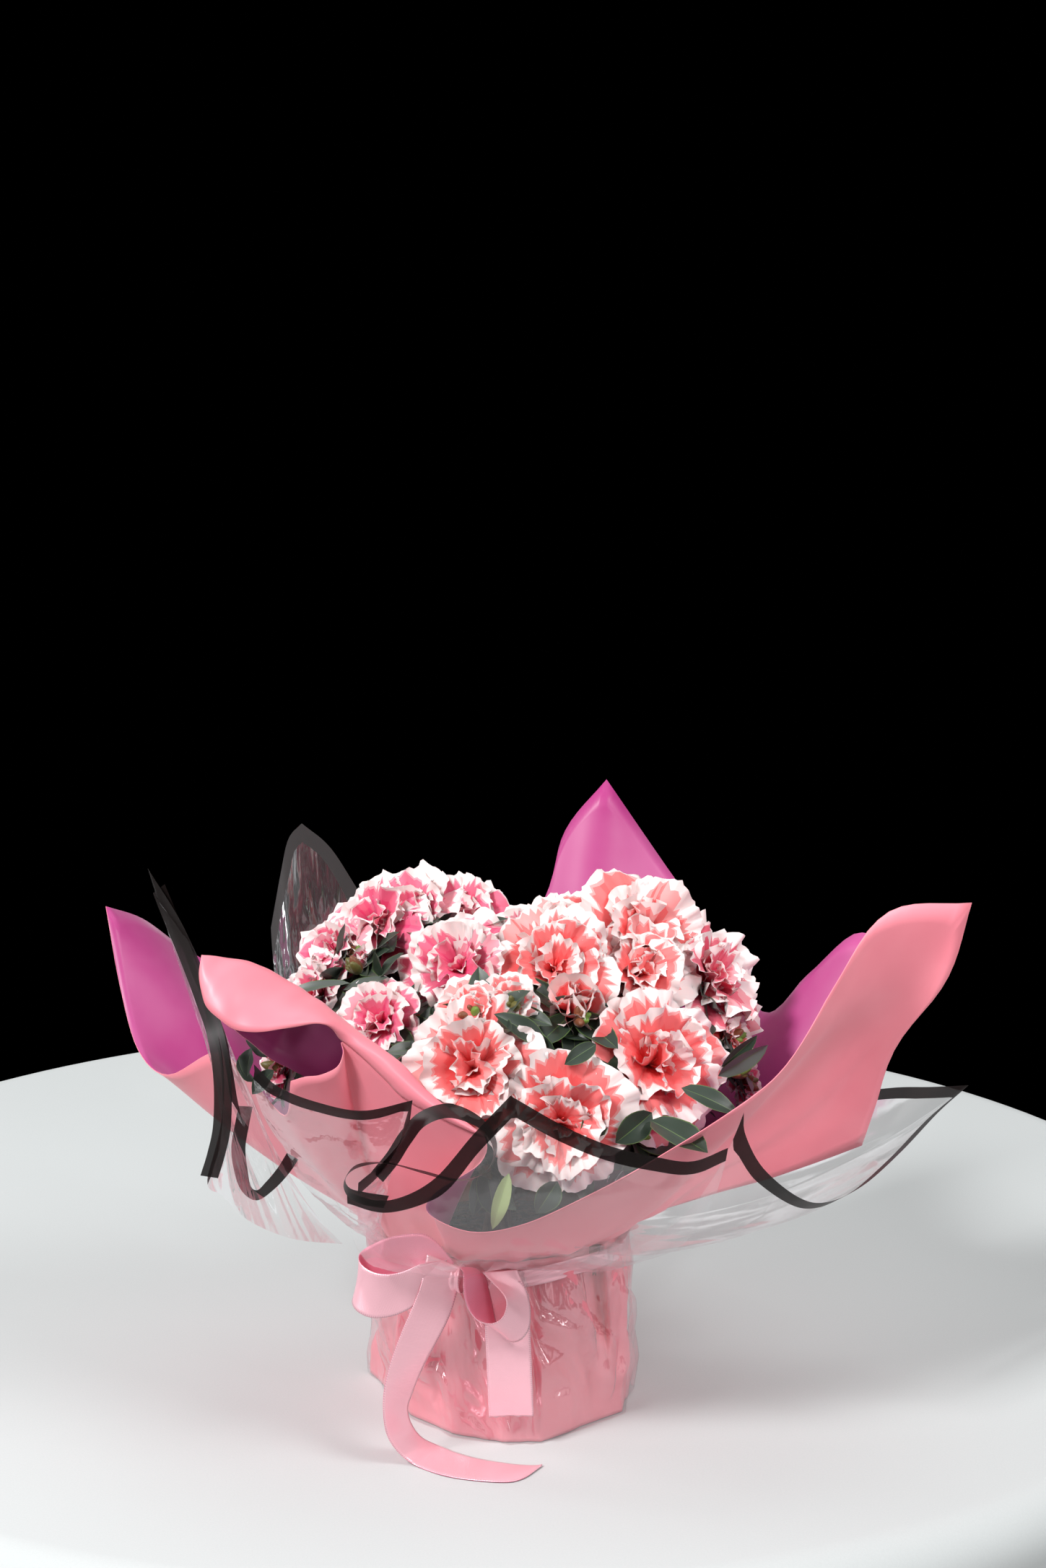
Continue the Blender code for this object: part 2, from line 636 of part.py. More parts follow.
def paper_columns():
    """Every column of the paper, from the back corner round and back to just before it."""
    columns = []
    for stations in PAPER_RUNS.values():
        steps = (len(stations) - 1) * PAPER_STEPS
        for k in range(steps):
            columns.append(column_at(stations, k / steps))
    return columns


def meridian(foot, edge, belly, rows):
    """Points from the foot up to the free edge, bellying outwards and down."""
    span = (edge - foot).normalized()
    out = Vector((foot.x, foot.y, 0)).normalized()
    sag = (out - span * out.dot(span)).normalized()
    middle = foot.lerp(edge, BELLY_PLACE) + sag * belly
    middle.z = max(middle.z, foot.z + LEAST_RISE)
    points = []
    for i in range(rows + 1):
        t = i / rows
        points.append(foot * (1 - t) ** 2 + middle * 2 * t * (1 - t) + edge * t * t)
    return points


def build_paper(finish):
    """The flared skirt of paper, in pieces that meet edge to edge with a narrow seam."""
    columns = paper_columns()
    for name, spans in PAPER_PIECES.items():
        lines = []
        for start, end in spans:
            for direction, edge, belly in columns:
                if end + HALF_SEAM < direction < start - HALF_SEAM:
                    foot = neck_point(direction, NECK_RADIUS, NECK_HEIGHT + NECK_RISE)
                    lines.append(meridian(foot, edge, belly, PAPER_ROWS))
        sheet(name, list(zip(*lines)), PAPER_THICKNESS, finish)


def build_roll(finish):
    """The corner rolled into a cone, with a slit along its under side."""
    start, end = Vector(ROLL_START), Vector(ROLL_END)
    axis = (end - start).normalized()
    side = axis.cross(Vector((0, 0, 1))).normalized()
    over = side.cross(axis).normalized()
    rows = []
    for i in range(ROLL_ROWS + 1):
        t = i / ROLL_ROWS
        centre = start.lerp(end, t)
        radius = ROLL_START_RADIUS + (ROLL_END_RADIUS - ROLL_START_RADIUS) * t
        row = []
        for k in range(ROLL_COLUMNS + 1):
            angle = math.radians(ROLL_SLIT / 2 + (360 - ROLL_SLIT) * k / ROLL_COLUMNS - 90)
            row.append(centre + (side * math.cos(angle) + over * math.sin(angle)) * radius)
        rows.append(row)
    sheet("paper_rolled_corner", rows, PAPER_THICKNESS, finish)


def build_film_corners(finish):
    """The stiff corners of clear film that stand out round the paper."""
    for name, corner in FILM_CORNERS.items():
        lines = []
        steps = (len(corner["edge"]) - 1) * FILM_STEPS
        for k in range(steps + 1):
            t = k / steps
            if "foot" in corner:
                foot = on_spline(corner["foot"], t)
            else:
                start, end = corner["neck"]
                degrees = start + (end - start) * t
                foot = neck_point(degrees, FILM_NECK_RADIUS, FILM_NECK_HEIGHT + NECK_RISE)
            lines.append(meridian(foot, on_spline(corner["edge"], t), corner["belly"], FILM_ROWS))
        sheet(name, list(zip(*lines)), FILM_THICKNESS, finish)


def sleeve_ring(t, radius, height):
    """One ring of a sleeve: the creased foot below, round at the neck."""
    ring = []
    for k in range(SLEEVE_COLUMNS):
        place = k / SLEEVE_COLUMNS * len(SLEEVE_CORNERS)
        corner = int(place)
        a = Vector(SLEEVE_CORNERS[corner])
        b = Vector(SLEEVE_CORNERS[(corner + 1) % len(SLEEVE_CORNERS)])
        foot = a.lerp(b, place - corner)
        out = foot.normalized()
        foot += out * (radius - NECK_RADIUS)
        flat = foot.lerp(out * radius, t * t * (3 - 2 * t))
        ring.append((flat.x, flat.y, GAP + (height - NECK_RISE - GAP) * t))
    return ring


def build_sleeves(paper, film):
    """The two tubes round the pot, open above and below: paper inside, clear film outside."""
    for name, finish, thickness, radius, height in (
            ("paper_sleeve", paper, PAPER_THICKNESS, NECK_RADIUS, NECK_HEIGHT),
            ("film_sleeve", film, FILM_THICKNESS, FILM_NECK_RADIUS, FILM_NECK_HEIGHT)):
        rows = [sleeve_ring(i / SLEEVE_ROWS, radius, height) for i in range(SLEEVE_ROWS + 1)]
        sheet(name, rows, thickness, finish, closed=True)


# ---------------------------------------------------------------- ribbon
def build_ribbon(finish):
    """The band round the neck, the knot, two loops and two tails."""
    band = [[neck_point(360 * k / BAND_SIDES, BAND_RADIUS, height) for k in range(BAND_SIDES)]
            for height in (BAND_TOP - BAND_HEIGHT, BAND_TOP)]
    sheet("ribbon_band", band, RIBBON_THICKNESS, finish, closed=True)
    turn = Matrix.Rotation(math.radians(KNOT_TURN), 3, "Z")
    corners = [(x, y, z) for z in (-1, 1) for x, y in ((-1, -1), (1, -1), (1, 1), (-1, 1))]
    points = [turn @ Vector([c * size / 2 for c, size in zip(corner, KNOT_SIZE)]) + Vector(KNOT_PLACE)
              for corner in corners]
    object_from("ribbon_knot", points, [(0, 1, 2, 3), (4, 5, 6, 7), (0, 1, 5, 4), (1, 2, 6, 5),
                                        (2, 3, 7, 6), (3, 0, 4, 7)], finish)
    for name, ribbon in RIBBONS.items():
        steps = (len(ribbon["route"]) - 1) * RIBBON_STEPS
        centres = [on_spline(ribbon["route"], i / steps) for i in range(steps + 1)]
        sideways = [on_spline(ribbon["sideways"], i / steps) for i in range(steps + 1)]
        strip(name, centres, sideways, ribbon["width"], finish)


def main():
    clear_scene()
    plastic = material("pot plastic", (0.28, 0.10, 0.05), 0.55)
    soil = material("peat", (0.05, 0.03, 0.02), 0.95)
    wood = material("azalea bark", (0.20, 0.13, 0.09), 0.85)
    foliage = material("foliage and bloom", (0.80, 0.30, 0.35), 0.6)
    paper = material("wrapping paper", (0.90, 0.35, 0.42), 0.5)
    film = material("clear film", (0.85, 0.88, 0.9), 0.15, alpha=0.3)
    satin = material("satin ribbon", (0.92, 0.50, 0.60), 0.35)
    build_pot(plastic)
    build_soil(soil)
    build_trunk(wood)
    directions = build_boughs(wood)
    build_sleeves(paper, film)
    build_paper(paper)
    build_roll(paper)
    build_film_corners(film)
    build_ribbon(satin)
    limits = limits_of(("paper_", "bough_"))
    for seed, (name, direction) in enumerate(directions.items()):
        build_mass(name, direction, limits, foliage, seed + 1)


if __name__ == "__main__":
    main()
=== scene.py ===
"""The looks of a gift-wrapped azalea in a pot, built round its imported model.

The shrub's blooms, leaves, twigs and bark, the two-sided paper, the clear film with its dark border
and the satin bow are each one operator. Places are in millimetres in the model's own frame: +Z up,
the bow towards -Y, and the origin at the centre of the pot's flat underside.
"""

import math
import random

import bmesh
import bpy
from bpy.props import FloatProperty, FloatVectorProperty, IntProperty, PointerProperty
from mathutils import Matrix, Vector, noise
from mathutils.bvhtree import BVHTree


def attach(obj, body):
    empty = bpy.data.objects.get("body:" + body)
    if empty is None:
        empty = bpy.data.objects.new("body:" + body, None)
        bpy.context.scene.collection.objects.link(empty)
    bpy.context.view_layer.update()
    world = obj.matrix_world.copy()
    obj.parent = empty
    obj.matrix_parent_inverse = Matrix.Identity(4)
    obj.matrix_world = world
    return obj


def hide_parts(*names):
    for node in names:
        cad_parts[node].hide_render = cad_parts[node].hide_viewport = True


bl_info = {
    "name": "Gift-wrapped azalea",
    "version": (1, 0, 0),
    "blender": (4, 5, 0),
    "location": "3D View > Sidebar > Azalea",
    "description": "Dresses the packed model of a potted azalea in paper, film and a satin bow",
    "category": "Object",
}

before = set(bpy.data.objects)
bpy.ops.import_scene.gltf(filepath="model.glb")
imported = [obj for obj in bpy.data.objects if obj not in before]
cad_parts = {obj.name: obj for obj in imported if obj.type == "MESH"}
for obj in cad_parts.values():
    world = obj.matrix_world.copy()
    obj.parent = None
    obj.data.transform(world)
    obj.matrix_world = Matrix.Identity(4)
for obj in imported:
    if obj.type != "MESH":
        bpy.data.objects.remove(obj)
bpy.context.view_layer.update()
MM = 0.001


def srgb(red, green, blue):
    """Scene-linear colour from the 0 to 255 values of a colour picker."""
    shares = [value / 255 for value in (red, green, blue)]
    return tuple(((c + 0.055) / 1.055) ** 2.4 if c > 0.04 else c / 12.92 for c in shares)


# ---------------------------------------------------------------- where things are (mm)
CROWN_CENTRE = Vector((12, 8, 158))
SOIL_TOP = 99.3
TRUNK_HEIGHT, TRUNK_STEPS = 40.0, 12
TRUNK_RADII = (10.0, 6.0)
TRUNK_LEAN = (3.0, -1.5)

# Masses of foliage, as in the solids: how far up the trunk the bough leaves it, the bough's tip,
# the mass's site, and its blooms as (x, y, z, radius, colouring). Some blooms stand up to 14 mm from
# where the solids have them.
MASSES = {
    "front": (0.74, (12, -42, 168), (12, -88, 215), [
        (36, -105, 199, 34.5, "coral"), (-14, -92, 227, 33, "coral"), (-14, -70, 252, 17, "coral"),
        (8, -68, 256, 15, "coral")]),
    "right_front": (0.42, (50, -26, 168), (93, -55, 224), [
        (92, -62, 221, 40, "coral"), (44, -62, 254, 20, "closed")]),
    "right": (0.74, (60, 12, 170), (134, 14, 222), [
        (128, 10, 252, 33, "hot"), (136, -1, 218, 19, "coral"), (142, -8, 192, 14, "rose"),
        (132, 42, 222, 24, "hot")]),
    "top": (1.0, (34, 10, 192), (58, 4, 272), [
        (33, -40, 270, 31, "coral"), (86, 2, 277, 39, "coral"), (83, -22, 262, 28, "coral"),
        (37, 18, 281, 18, "coral"), (13, -2, 280, 15, "rose")]),
    "left_front": (0.42, (-20, -22, 178), (-46, -48, 240), [
        (-22, -33, 268, 31, "rose"), (-68, -45, 240, 25, "rose"), (-46, -72, 214, 15, "coral")]),
    "left": (0.74, (-38, 4, 170), (-112, 4, 226), [
        (-97, 20, 264, 22, "rose"), (-108, 8, 242, 22, "rose"), (-80, 12, 261, 15, "closed"),
        (-126, -12, 202, 15, "rose"), (-116, 34, 216, 24, "rose")]),
    "back_left": (0.42, (-26, 30, 176), (-54, 48, 268), [
        (-25, 30, 282, 28, "rose"), (-52, 31, 284, 27, "rose"), (-73, 27, 277, 29, "rose"),
        (-70, 66, 246, 28, "rose")]),
    "back": (0.74, (12, 52, 172), (10, 92, 226), [
        (-14, 74, 250, 30, "coral"), (34, 84, 234, 27, "rose"), (-32, 88, 208, 23, "coral")]),
    "back_right": (0.42, (52, 44, 170), (86, 78, 228), [
        (78, 60, 256, 28, "hot"), (84, 70, 214, 24, "coral")]),
}
# Leafy tips round the crown's lower rim: the centre, radii and height of their ring, and how many.
TUFT_CENTRE, TUFT_RADIUS, TUFT_HEIGHT, TUFT_COUNT = (12, -3), (92, 79), 174, 13
# Blooms further forward than this turn to the front, and those above this height turn most.
TURNED_BLOOMS_TO_Y, TOP_BLOOMS_FROM_Z = 45, 255
# Leaves end at least this share of a bloom's radius from its centre, and above this height.
BLOOM_CLEARANCE, LOWEST_LEAF_TIP = 0.72, 118

# Leaves that stand out by themselves: (root, tip, width, green).
LONE_LEAVES = [
    ((7, -118, 176), (-2, -124, 146), 9, "pale"), ((83, -104, 201), (112, -134, 194), 18, "dark"),
    ((84, -97, 203), (66, -108, 189), 16, "dark"), ((100, -88, 214), (131, -98, 206), 12, "dark"),
    ((121, -70, 215), (148, -74, 233), 11, "mid"), ((27, -80, 236), (2, -89, 257), 13, "dark"),
    ((-82, -22, 254), (-118, -22, 251), 8, "mid"), ((-66, -20, 256), (-54, -22, 273), 12, "dark"),
    ((-62, -18, 256), (-70, -24, 274), 10, "dark"), ((-86, -22, 250), (-62, -26, 261), 9, "mid"),
    ((-16, -4, 280), (6, -4, 290), 13, "dark"), ((16, -12, 276), (24, -14, 294), 9, "pale"),
    ((33, -114, 170), (22, -121, 154), 14, "dark"), ((54, -86, 238), (37, -96, 230), 10, "dark"),
    ((56, -92, 208), (48, -108, 184), 15, "dark"), ((123, -66, 219), (143, -66, 236), 9, "dark"),
    ((-132, -86, 236), (-136, -92, 222), 12, "dark"),
    ((-123, -84, 230), (-135, -90, 244), 11, "mid"),
    ((-120, -88, 224), (-133, -92, 213), 12, "dark"),
    ((-131, -84, 216), (-140, -84, 230), 11, "dark"),
    ((-44, -58, 228), (-62, -66, 221), 12, "dark"), ((-36, -60, 226), (-58, -72, 232), 11, "mid")]
BUD_CLUSTERS = [(-78, -4, 256), (45, -66, 246), (132, -30, 204), (-2, -66, 240), (-30, 60, 262),
                (108, 40, 246), (-100, 30, 248)]

# The free edge of the paper, run by run between its sharp corners, as (direction at the neck in
# degrees, x, y, z, belly), counted down from the back corner by the right, front and left.
PAPER_RUNS = [
    [(62, 65, 150, 333, -4), (50, 99, 142, 284, 2), (38, 124, 124, 251, 8), (22, 156, 78, 208, 14),
     (14, 181, 60, 236, 16), (8, 211, 50, 264, 22), (3, 234, 26, 240, 20), (-3, 207, -10, 155, 6)],
    [(-3, 207, -10, 155, 6), (-8, 223, -30, 216, 26), (-12, 250, -38, 262, 36), (-17, 261, -40, 305, 40)],
    [(-17, 261, -40, 305, 40), (-24, 213, -62, 306, 40), (-34, 180, -88, 272, 34),
     (-45, 153, -108, 235, 22), (-53, 127, -123, 217, 14), (-64, 85, -132, 189, 8),
     (-78, 42, -133, 165, 4), (-90, 12, -134, 152, 2), (-100, -14, -132, 148, 2),
     (-108, -36, -131, 158, 2), (-113, -32, -126, 168, 4), (-117, -8, -124, 184, 6),
     (-121, -7, -119, 198, 8), (-125, -28, -117, 207, 9), (-128, -49, -115, 218, 10),
     (-131, -58, -114, 227, 11), (-134, -68, -113, 237, 12), (-137, -77, -112, 245, 12)],
    [(-137, -77, -112, 245, 12), (-138, -82, -112, 247, 12), (-139, -81, -114, 242, 12),
     (-140, -84, -117, 235, 12), (-142, -93, -119, 231, 12), (-144, -101, -119, 230, 12),
     (-147, -109, -117, 227, 12)],
    [(-147, -109, -117, 227, 12), (-154, -114, -99, 202, 10), (-162, -134, -78, 216, 10),
     (-168, -154, -58, 225, 14), (-174, -184, -30, 203, 14), (-180, -205, 8, 206, 12),
     (-188, -218, 36, 236, 12), (-197, -228, 60, 277, 12)],
    [(-197, -228, 60, 277, 12), (-205, -210, 82, 264, 10), (-212, -192, 100, 244, 8)],
    [(-212, -192, 100, 244, 8), (-228, -114, 100, 196, 8), (-246, -60, 112, 180, 8),
     (-264, -10, 120, 198, 6), (-280, 27, 132, 262, 2), (-290, 40, 146, 302, -4),
     (-298, 65, 150, 333, -4)],
]
# The runs that end in a corner which stays creased.
CREASED_RUN_ENDS = (0, 5)
# Where the paper and the film are drawn in round the pot.
NECK_RADIUS, NECK_HEIGHT = 71.5, 108.4
FILM_NECK_RADIUS, FILM_NECK_HEIGHT = 73.5, 105.4

# The rolled front-left corner: its front boundary, its highest line, and its inner edge at the back.
HOOD_FRONT = [(-156, -105, 293), (-157, -111, 284), (-155, -117, 275), (-152, -122, 269), (-145, -127, 264),
              (-138, -129, 259.5), (-130, -131, 258.5), (-122, -131, 258.5), (-114, -130, 259.5),
              (-105, -127, 260), (-96, -123, 260.5), (-90, -120, 259), (-86, -116, 255), (-83, -112, 249),
              (-77, -112, 244), (-68, -113, 236), (-58, -114, 226), (-49, -115, 217), (-28, -117, 206),
              (-7, -119, 197)]
HOOD_TOP = [(-156, -105, 293), (-150, -103, 292), (-143, -100, 290), (-133, -98, 288), (-126, -97, 285),
            (-120, -96, 282), (-111, -95, 276), (-104, -95, 272), (-99, -95, 268), (-93, -97, 265),
            (-88, -98, 261), (-80, -100, 255), (-72, -102, 249), (-60, -105, 241), (-49, -108, 233),
            (-41, -110, 224), (-32, -112, 216), (-24, -114, 210), (-13, -117, 202), (-7, -119, 198)]
HOOD_INSIDE = [(-154, -108, 276), (-150, -112, 268), (-146, -116, 262), (-142, -118, 259), (-139, -119, 257),
               (-135, -113, 251), (-131, -108, 246), (-126, -104, 240), (-122, -100, 235), (-117, -98, 231),
               (-112, -97, 228), (-106, -96, 224), (-100, -96, 221), (-90, -97, 217), (-78, -100, 213),
               (-66, -103, 209), (-52, -107, 205), (-38, -111, 202), (-22, -115, 199), (-9, -118, 197)]

# Clear film: the directions at the neck or the points of its foot, how far it bellies out, how deep,
# large and long its creases are, and the runs of its free edge between corners.
FILM_PATCHES = {
    "film_front": {"neck": (-122, -46), "belly": 54, "creases": 2.6, "cell": 60, "stretch": 1.5, "runs": [
        [(-78, -148, 176), (-57, -156, 174), (-33, -162, 187), (-11, -166, 214), (8, -167, 235)],
        [(8, -167, 235), (36, -166, 218), (60, -165, 207), (84, -162, 200), (103, -157, 196),
         (122, -147, 200)]]},
    "film_front_left": {"neck": (-152, -128), "belly": 30, "creases": 8.0, "cell": 32, "stretch": 1.2,
                        "runs": [
        [(-127, -132, 241), (-114, -139, 231), (-93, -147, 225), (-69, -152, 222), (-43, -153, 228)],
        [(-43, -153, 228), (-46, -154, 212), (-57, -153, 196), (-72, -148, 181)]]},
    "film_right": {"neck": (-47, 24), "belly": 40, "creases": 1.6, "cell": 62, "stretch": 1.2, "runs": [
        [(130, -146, 219), (131, -146, 207), (141, -142, 187), (161, -128, 166), (178, -108, 156),
         (200, -82, 156), (224, -54, 166), (248, -26, 180), (267, -8, 190)],
        [(267, -8, 190), (249, 14, 182), (232, 32, 176), (210, 50, 168), (180, 66, 162)]]},
    "film_back_left": {"neck": (112, 146), "belly": 52, "creases": 4.0, "cell": 22, "stretch": 9.0, "runs": [
        [(-58, 150, 220), (-84, 146, 262), (-102, 143, 292), (-119, 140, 308)],
        [(-119, 140, 308), (-127, 137, 299), (-132, 134, 277), (-138, 132, 245)]]},
    "film_left": {"foot": [(-86, -54, 112), (-112, -78, 124), (-134, -94, 140), (-148, -104, 158)],
                  "belly": 6, "creases": 3.0, "cell": 26, "stretch": 5.0, "runs": [
        [(-142, -104, 212), (-152, -88, 262), (-168, -72, 298), (-190, -50, 327)],
        [(-190, -50, 327), (-176, -62, 306), (-164, -76, 284), (-155, -94, 264), (-147, -112, 248),
         (-144, -121, 226), (-146, -126, 204), (-153, -128, 178)]]},
}
# Loose curls of the film's dark border: centre line, and the way the width points.
BORDER_CURLS = {
    "border_curl_front": {"width": 8.5, "route": [
        (-57, -158, 174), (-69, -155, 175), (-77, -151, 177), (-79, -149, 183), (-72, -150, 191),
        (-57, -151, 193), (-39, -150, 188), (-21, -149, 183), (-8, -148, 185), (-1, -146, 193),
        (-1, -144, 203), (-9, -143, 213), (-24, -143, 219), (-38, -144, 215), (-47, -145, 205),
        (-54, -146, 194), (-62, -147, 184)],
        "sideways": [(0.4, -0.3, 1), (0.2, -0.4, 1), (0.2, -0.9, 0.8), (0.3, -1, 0.2), (0.2, -1, 0.25),
                     (0.1, -1, 0.2), (0, -1, 0.15), (-0.1, -1, 0.2), (-0.2, -1, 0.2), (-0.2, -1, 0.1),
                     (-0.3, -0.9, 0), (-0.2, -0.8, -0.4), (0, -0.7, -0.7), (0.3, -0.6, -0.7),
                     (0.7, -0.5, -0.6), (0.8, -0.5, -0.6), (0.8, -0.5, -0.6)]},
    "border_curl_left": {"width": 8.0, "route": [
        (-137, -74, 199), (-139, -76, 189), (-141, -78, 177), (-140, -80, 166), (-137, -82, 155),
        (-131, -83, 151), (-124, -82, 156), (-117, -78, 163), (-112, -70, 169)],
        "sideways": [(1, -0.2, 0), (1, -0.2, 0), (1, -0.2, 0), (1, -0.2, 0.1), (0.8, -0.4, 0.4),
                     (0.1, -0.5, 1), (-0.5, -0.5, 0.8), (-0.7, -0.4, 0.6), (-0.8, -0.3, 0.6)]},
    "border_tail_left": {"width": 9.5, "route": [
        (-184, -52, 316), (-176, -62, 300), (-167, -76, 284), (-157, -94, 266), (-149, -110, 250),
        (-145, -120, 229), (-145, -126, 206), (-148, -129, 191), (-152, -130, 178)],
        "sideways": [(0.7, -0.3, 0.6), (0.8, -0.3, 0.5), (0.8, -0.3, 0.5), (0.9, -0.3, 0.4), (1, -0.2, 0.2),
                     (1, -0.1, 0.05), (1, 0, 0), (1, 0.1, -0.1), (1, 0.1, -0.2)]},
}

# Where the sleeve's creased corners stand on the ground, as (x, y).
SLEEVE_CORNERS = [(-74, 30), (-49, -31), (-26, -58), (3, -69), (24, -68), (71, -27), (76, 12), (52, 56),
                  (6, 74), (-42, 66)]

# How finely the sheets are laid out: rows outwards, columns across, and passes of smoothing.
CURVE_STEPS = 400
SKIRT_ROWS, SKIRT_STEPS, SKIRT_PASSES = 26, 6, 26
HOOD_COLUMNS = 80
FILM_ROWS, FILM_STEP = 16, 3.5
COLLAR_ROWS, COLLAR_COLUMNS = 6, 240
SLEEVE_ROWS, SLEEVE_COLUMNS = 48, 360
RIBBON_COLUMNS, LOOP_STEPS, CURL_STEPS = 12, 72, 110

# Half the ribbon's width in its UV map and the satin's thickness, in metres.
HALF_RIBBON, SATIN_THICKNESS = 0.0125, 0.00035
# The gathered band round the neck, and the knot: place, width, and how finely they are laid out.
BAND_RADIUS, BAND_HEIGHT, BAND_WIDTH, BAND_STEPS, BAND_COLUMNS = 75.0, 100, 10, 240, 8
KNOT_PLACE, KNOT_WIDTH, KNOT_STEPS, KNOT_COLUMNS = Vector((-25, -85, 104)), 13, 64, 16

# Each run of ribbon: its centre line, and the way its width points along it.
RIBBONS = {
    "ribbon_loop_left": {"sideways": [(0.12, 0.1, 1), (0.1, 0, 1), (0.2, 0.1, 1), (0.15, 0.1, 1)], "route": [
        (-24, -88, 108), (-38, -84, 116), (-56, -82, 115), (-70, -83, 110), (-77, -88, 106), (-75, -95, 102),
        (-66, -99, 99), (-54, -99, 100), (-42, -97, 105), (-28, -90, 110)]},
    "ribbon_tail_short": {"sideways": [(1, 0, 0), (1, 0.05, 0)], "route": [
        (5, -85, 102), (6, -85, 74), (7, -84, 48), (8, -82, 21)]},
}

# The long tail's two edges, from the knot down to the table and along it to the pointed end.
LONG_TAIL_EDGES = (
    [(-38, -91, 120), (-42, -97, 102), (-53, -102, 76), (-60, -106, 55), (-62, -107, 36), (-59, -104, 17),
     (-47, -101, 2), (-26, -116, 0.8), (1, -123, 0.8), (14, -119, 0.8), (25, -102, 0.8)],
    [(-18, -89, 111), (-26, -92, 84), (-39, -93, 58), (-46, -93, 41), (-49, -92, 28), (-43, -84, 11),
     (-30, -78, 1.2), (-14, -90, 0.8), (4, -98, 0.8), (17, -101, 0.8), (25, -101, 0.8)])

# The right loop's outer and inner edges, out from the knot and back to it.
RIGHT_LOOP_EDGES = (
    [(-20, -90, 112), (-18, -95, 110), (-18, -100, 104), (-17, -103, 98), (-14.5, -104.5, 92),
     (-10, -105, 87), (-4, -104.5, 85), (1, -103.5, 86), (4, -102, 89), (5.5, -100, 94),
     (4.5, -98, 98), (1.5, -95, 101), (-2.5, -92, 104), (-8, -89, 109)],
    [(-11, -84, 109), (-6, -84, 104), (-4, -85, 96), (-2, -86, 87), (0, -87, 78), (3.5, -88, 71.5),
     (8, -88.5, 68), (13, -88.5, 69), (17, -88, 73.5), (18.5, -87, 79), (18.5, -86, 87), (17, -85, 95),
     (14.5, -84, 101), (11.5, -83, 108)])


# ---------------------------------------------------------------- settings a user would change
def colour_setting(name, description, *shade):
    """A colour, from the 0 to 255 values of a colour picker."""
    return FloatVectorProperty(name=name, description=description, subtype="COLOR", size=3, min=0, max=1,
                               default=srgb(*shade))


def length_setting(name, description, default, low, high):
    """A length in metres."""
    return FloatProperty(name=name, description=description, unit="LENGTH", default=default, min=low,
                         max=high)


class AzaleaPlantSettings(bpy.types.PropertyGroup):
    """Sizes and colours of the shrub itself."""

    coral: colour_setting("Coral", "Heart of the front blooms", 244, 72, 74)
    rose: colour_setting("Rose", "Heart of the left and rear blooms", 232, 50, 112)
    hot: colour_setting("Hot pink", "Heart of the blooms on the right", 222, 28, 84)
    margin: colour_setting("Margin", "The petals' pale ragged margin", 248, 228, 226)
    ruffle: FloatProperty(name="Ruffle", description="Height of the petals' waves, as a share of length",
                          default=0.085, min=0, max=0.3, subtype="FACTOR")
    leaf_length: length_setting("Leaf length", "Length of a full-grown leaf", 0.033, 0.01, 0.06)
    leaf_width: length_setting("Leaf width", "Width of a full-grown leaf", 0.014, 0.004, 0.03)
    leaf: colour_setting("Leaf", "Upper side of the leaves", 34, 50, 36)
    seed: IntProperty(name="Seed", description="Changes how petals and leaves fall", default=4, min=0)


class AzaleaWrapSettings(bpy.types.PropertyGroup):
    """Sizes and colours of the paper and the film."""

    outside: colour_setting("Paper outside", "Outer face of the paper", 255, 142, 158)
    inside: colour_setting("Paper inside", "Inner face of the paper", 182, 46, 128)
    border: colour_setting("Film border", "Printed border of the film", 20, 13, 12)
    border_width: length_setting("Border width", "Width of the film's printed border", 0.008, 0.002, 0.02)
    paper_thickness: length_setting("Paper thickness", "Thickness of the paper", 0.0004, 0.0001, 0.001)


class AzaleaRibbonSettings(bpy.types.PropertyGroup):
    """Size and colours of the satin ribbon."""

    colour: colour_setting("Satin", "Colour of the ribbon", 255, 196, 208)
    # The back's colour is partly the satin's duller side and partly painted shade: darker and deeper pink,
    # as the loops' insides look in shade.
    back: colour_setting("Ribbon back", "Colour of the ribbon's duller side, darkened as painted shade", 244, 144, 170)
    width: length_setting("Width", "Width of the ribbon", 0.025, 0.01, 0.05)


class AzaleaStageSettings(bpy.types.PropertyGroup):
    """Camera and table."""

    lens: FloatProperty(name="Lens", description="Focal length of the camera, in millimetres",
                        default=74.55, min=10, max=300)
    pitch: FloatProperty(name="Pitch", description="How far the camera looks down", subtype="ANGLE",
                         default=math.radians(12.37), min=0, max=1.5)
    floor_radius: length_setting("Floor radius", "Size of the pale round table", 0.52, 0.5, 10)


# ---------------------------------------------------------------- shader maths
class Number:
    """A number in a shader. Python's operators on it add Math nodes."""

    def __init__(self, shading, socket):
        self.shading = shading
        self.socket = socket

    def maths(self, operation, *values):
        made = self.shading.node("Math", {"operation": operation}, dict(enumerate(values)))
        return Number(self.shading, made.outputs[0])

    def unary(self, operation):
        """An operation on this number alone."""
        return self.maths(operation, self)

    def __add__(self, other):
        return self.maths("ADD", self, other)

    def __sub__(self, other):
        return self.maths("SUBTRACT", self, other)

    def __rsub__(self, other):
        return self.maths("SUBTRACT", other, self)

    def __mul__(self, other):
        return self.maths("MULTIPLY", self, other)

    def __truediv__(self, other):
        return self.maths("DIVIDE", self, other)

    __radd__ = __add__
    __rmul__ = __mul__

    def step(self, low, high):
        """0 below low, 1 above high, and smooth between."""
        made = self.shading.node("MapRange", {"interpolation_type": "SMOOTHSTEP"},
                                 {"Value": self, "From Min": low, "From Max": high})
        return Number(self.shading, made.outputs[0])


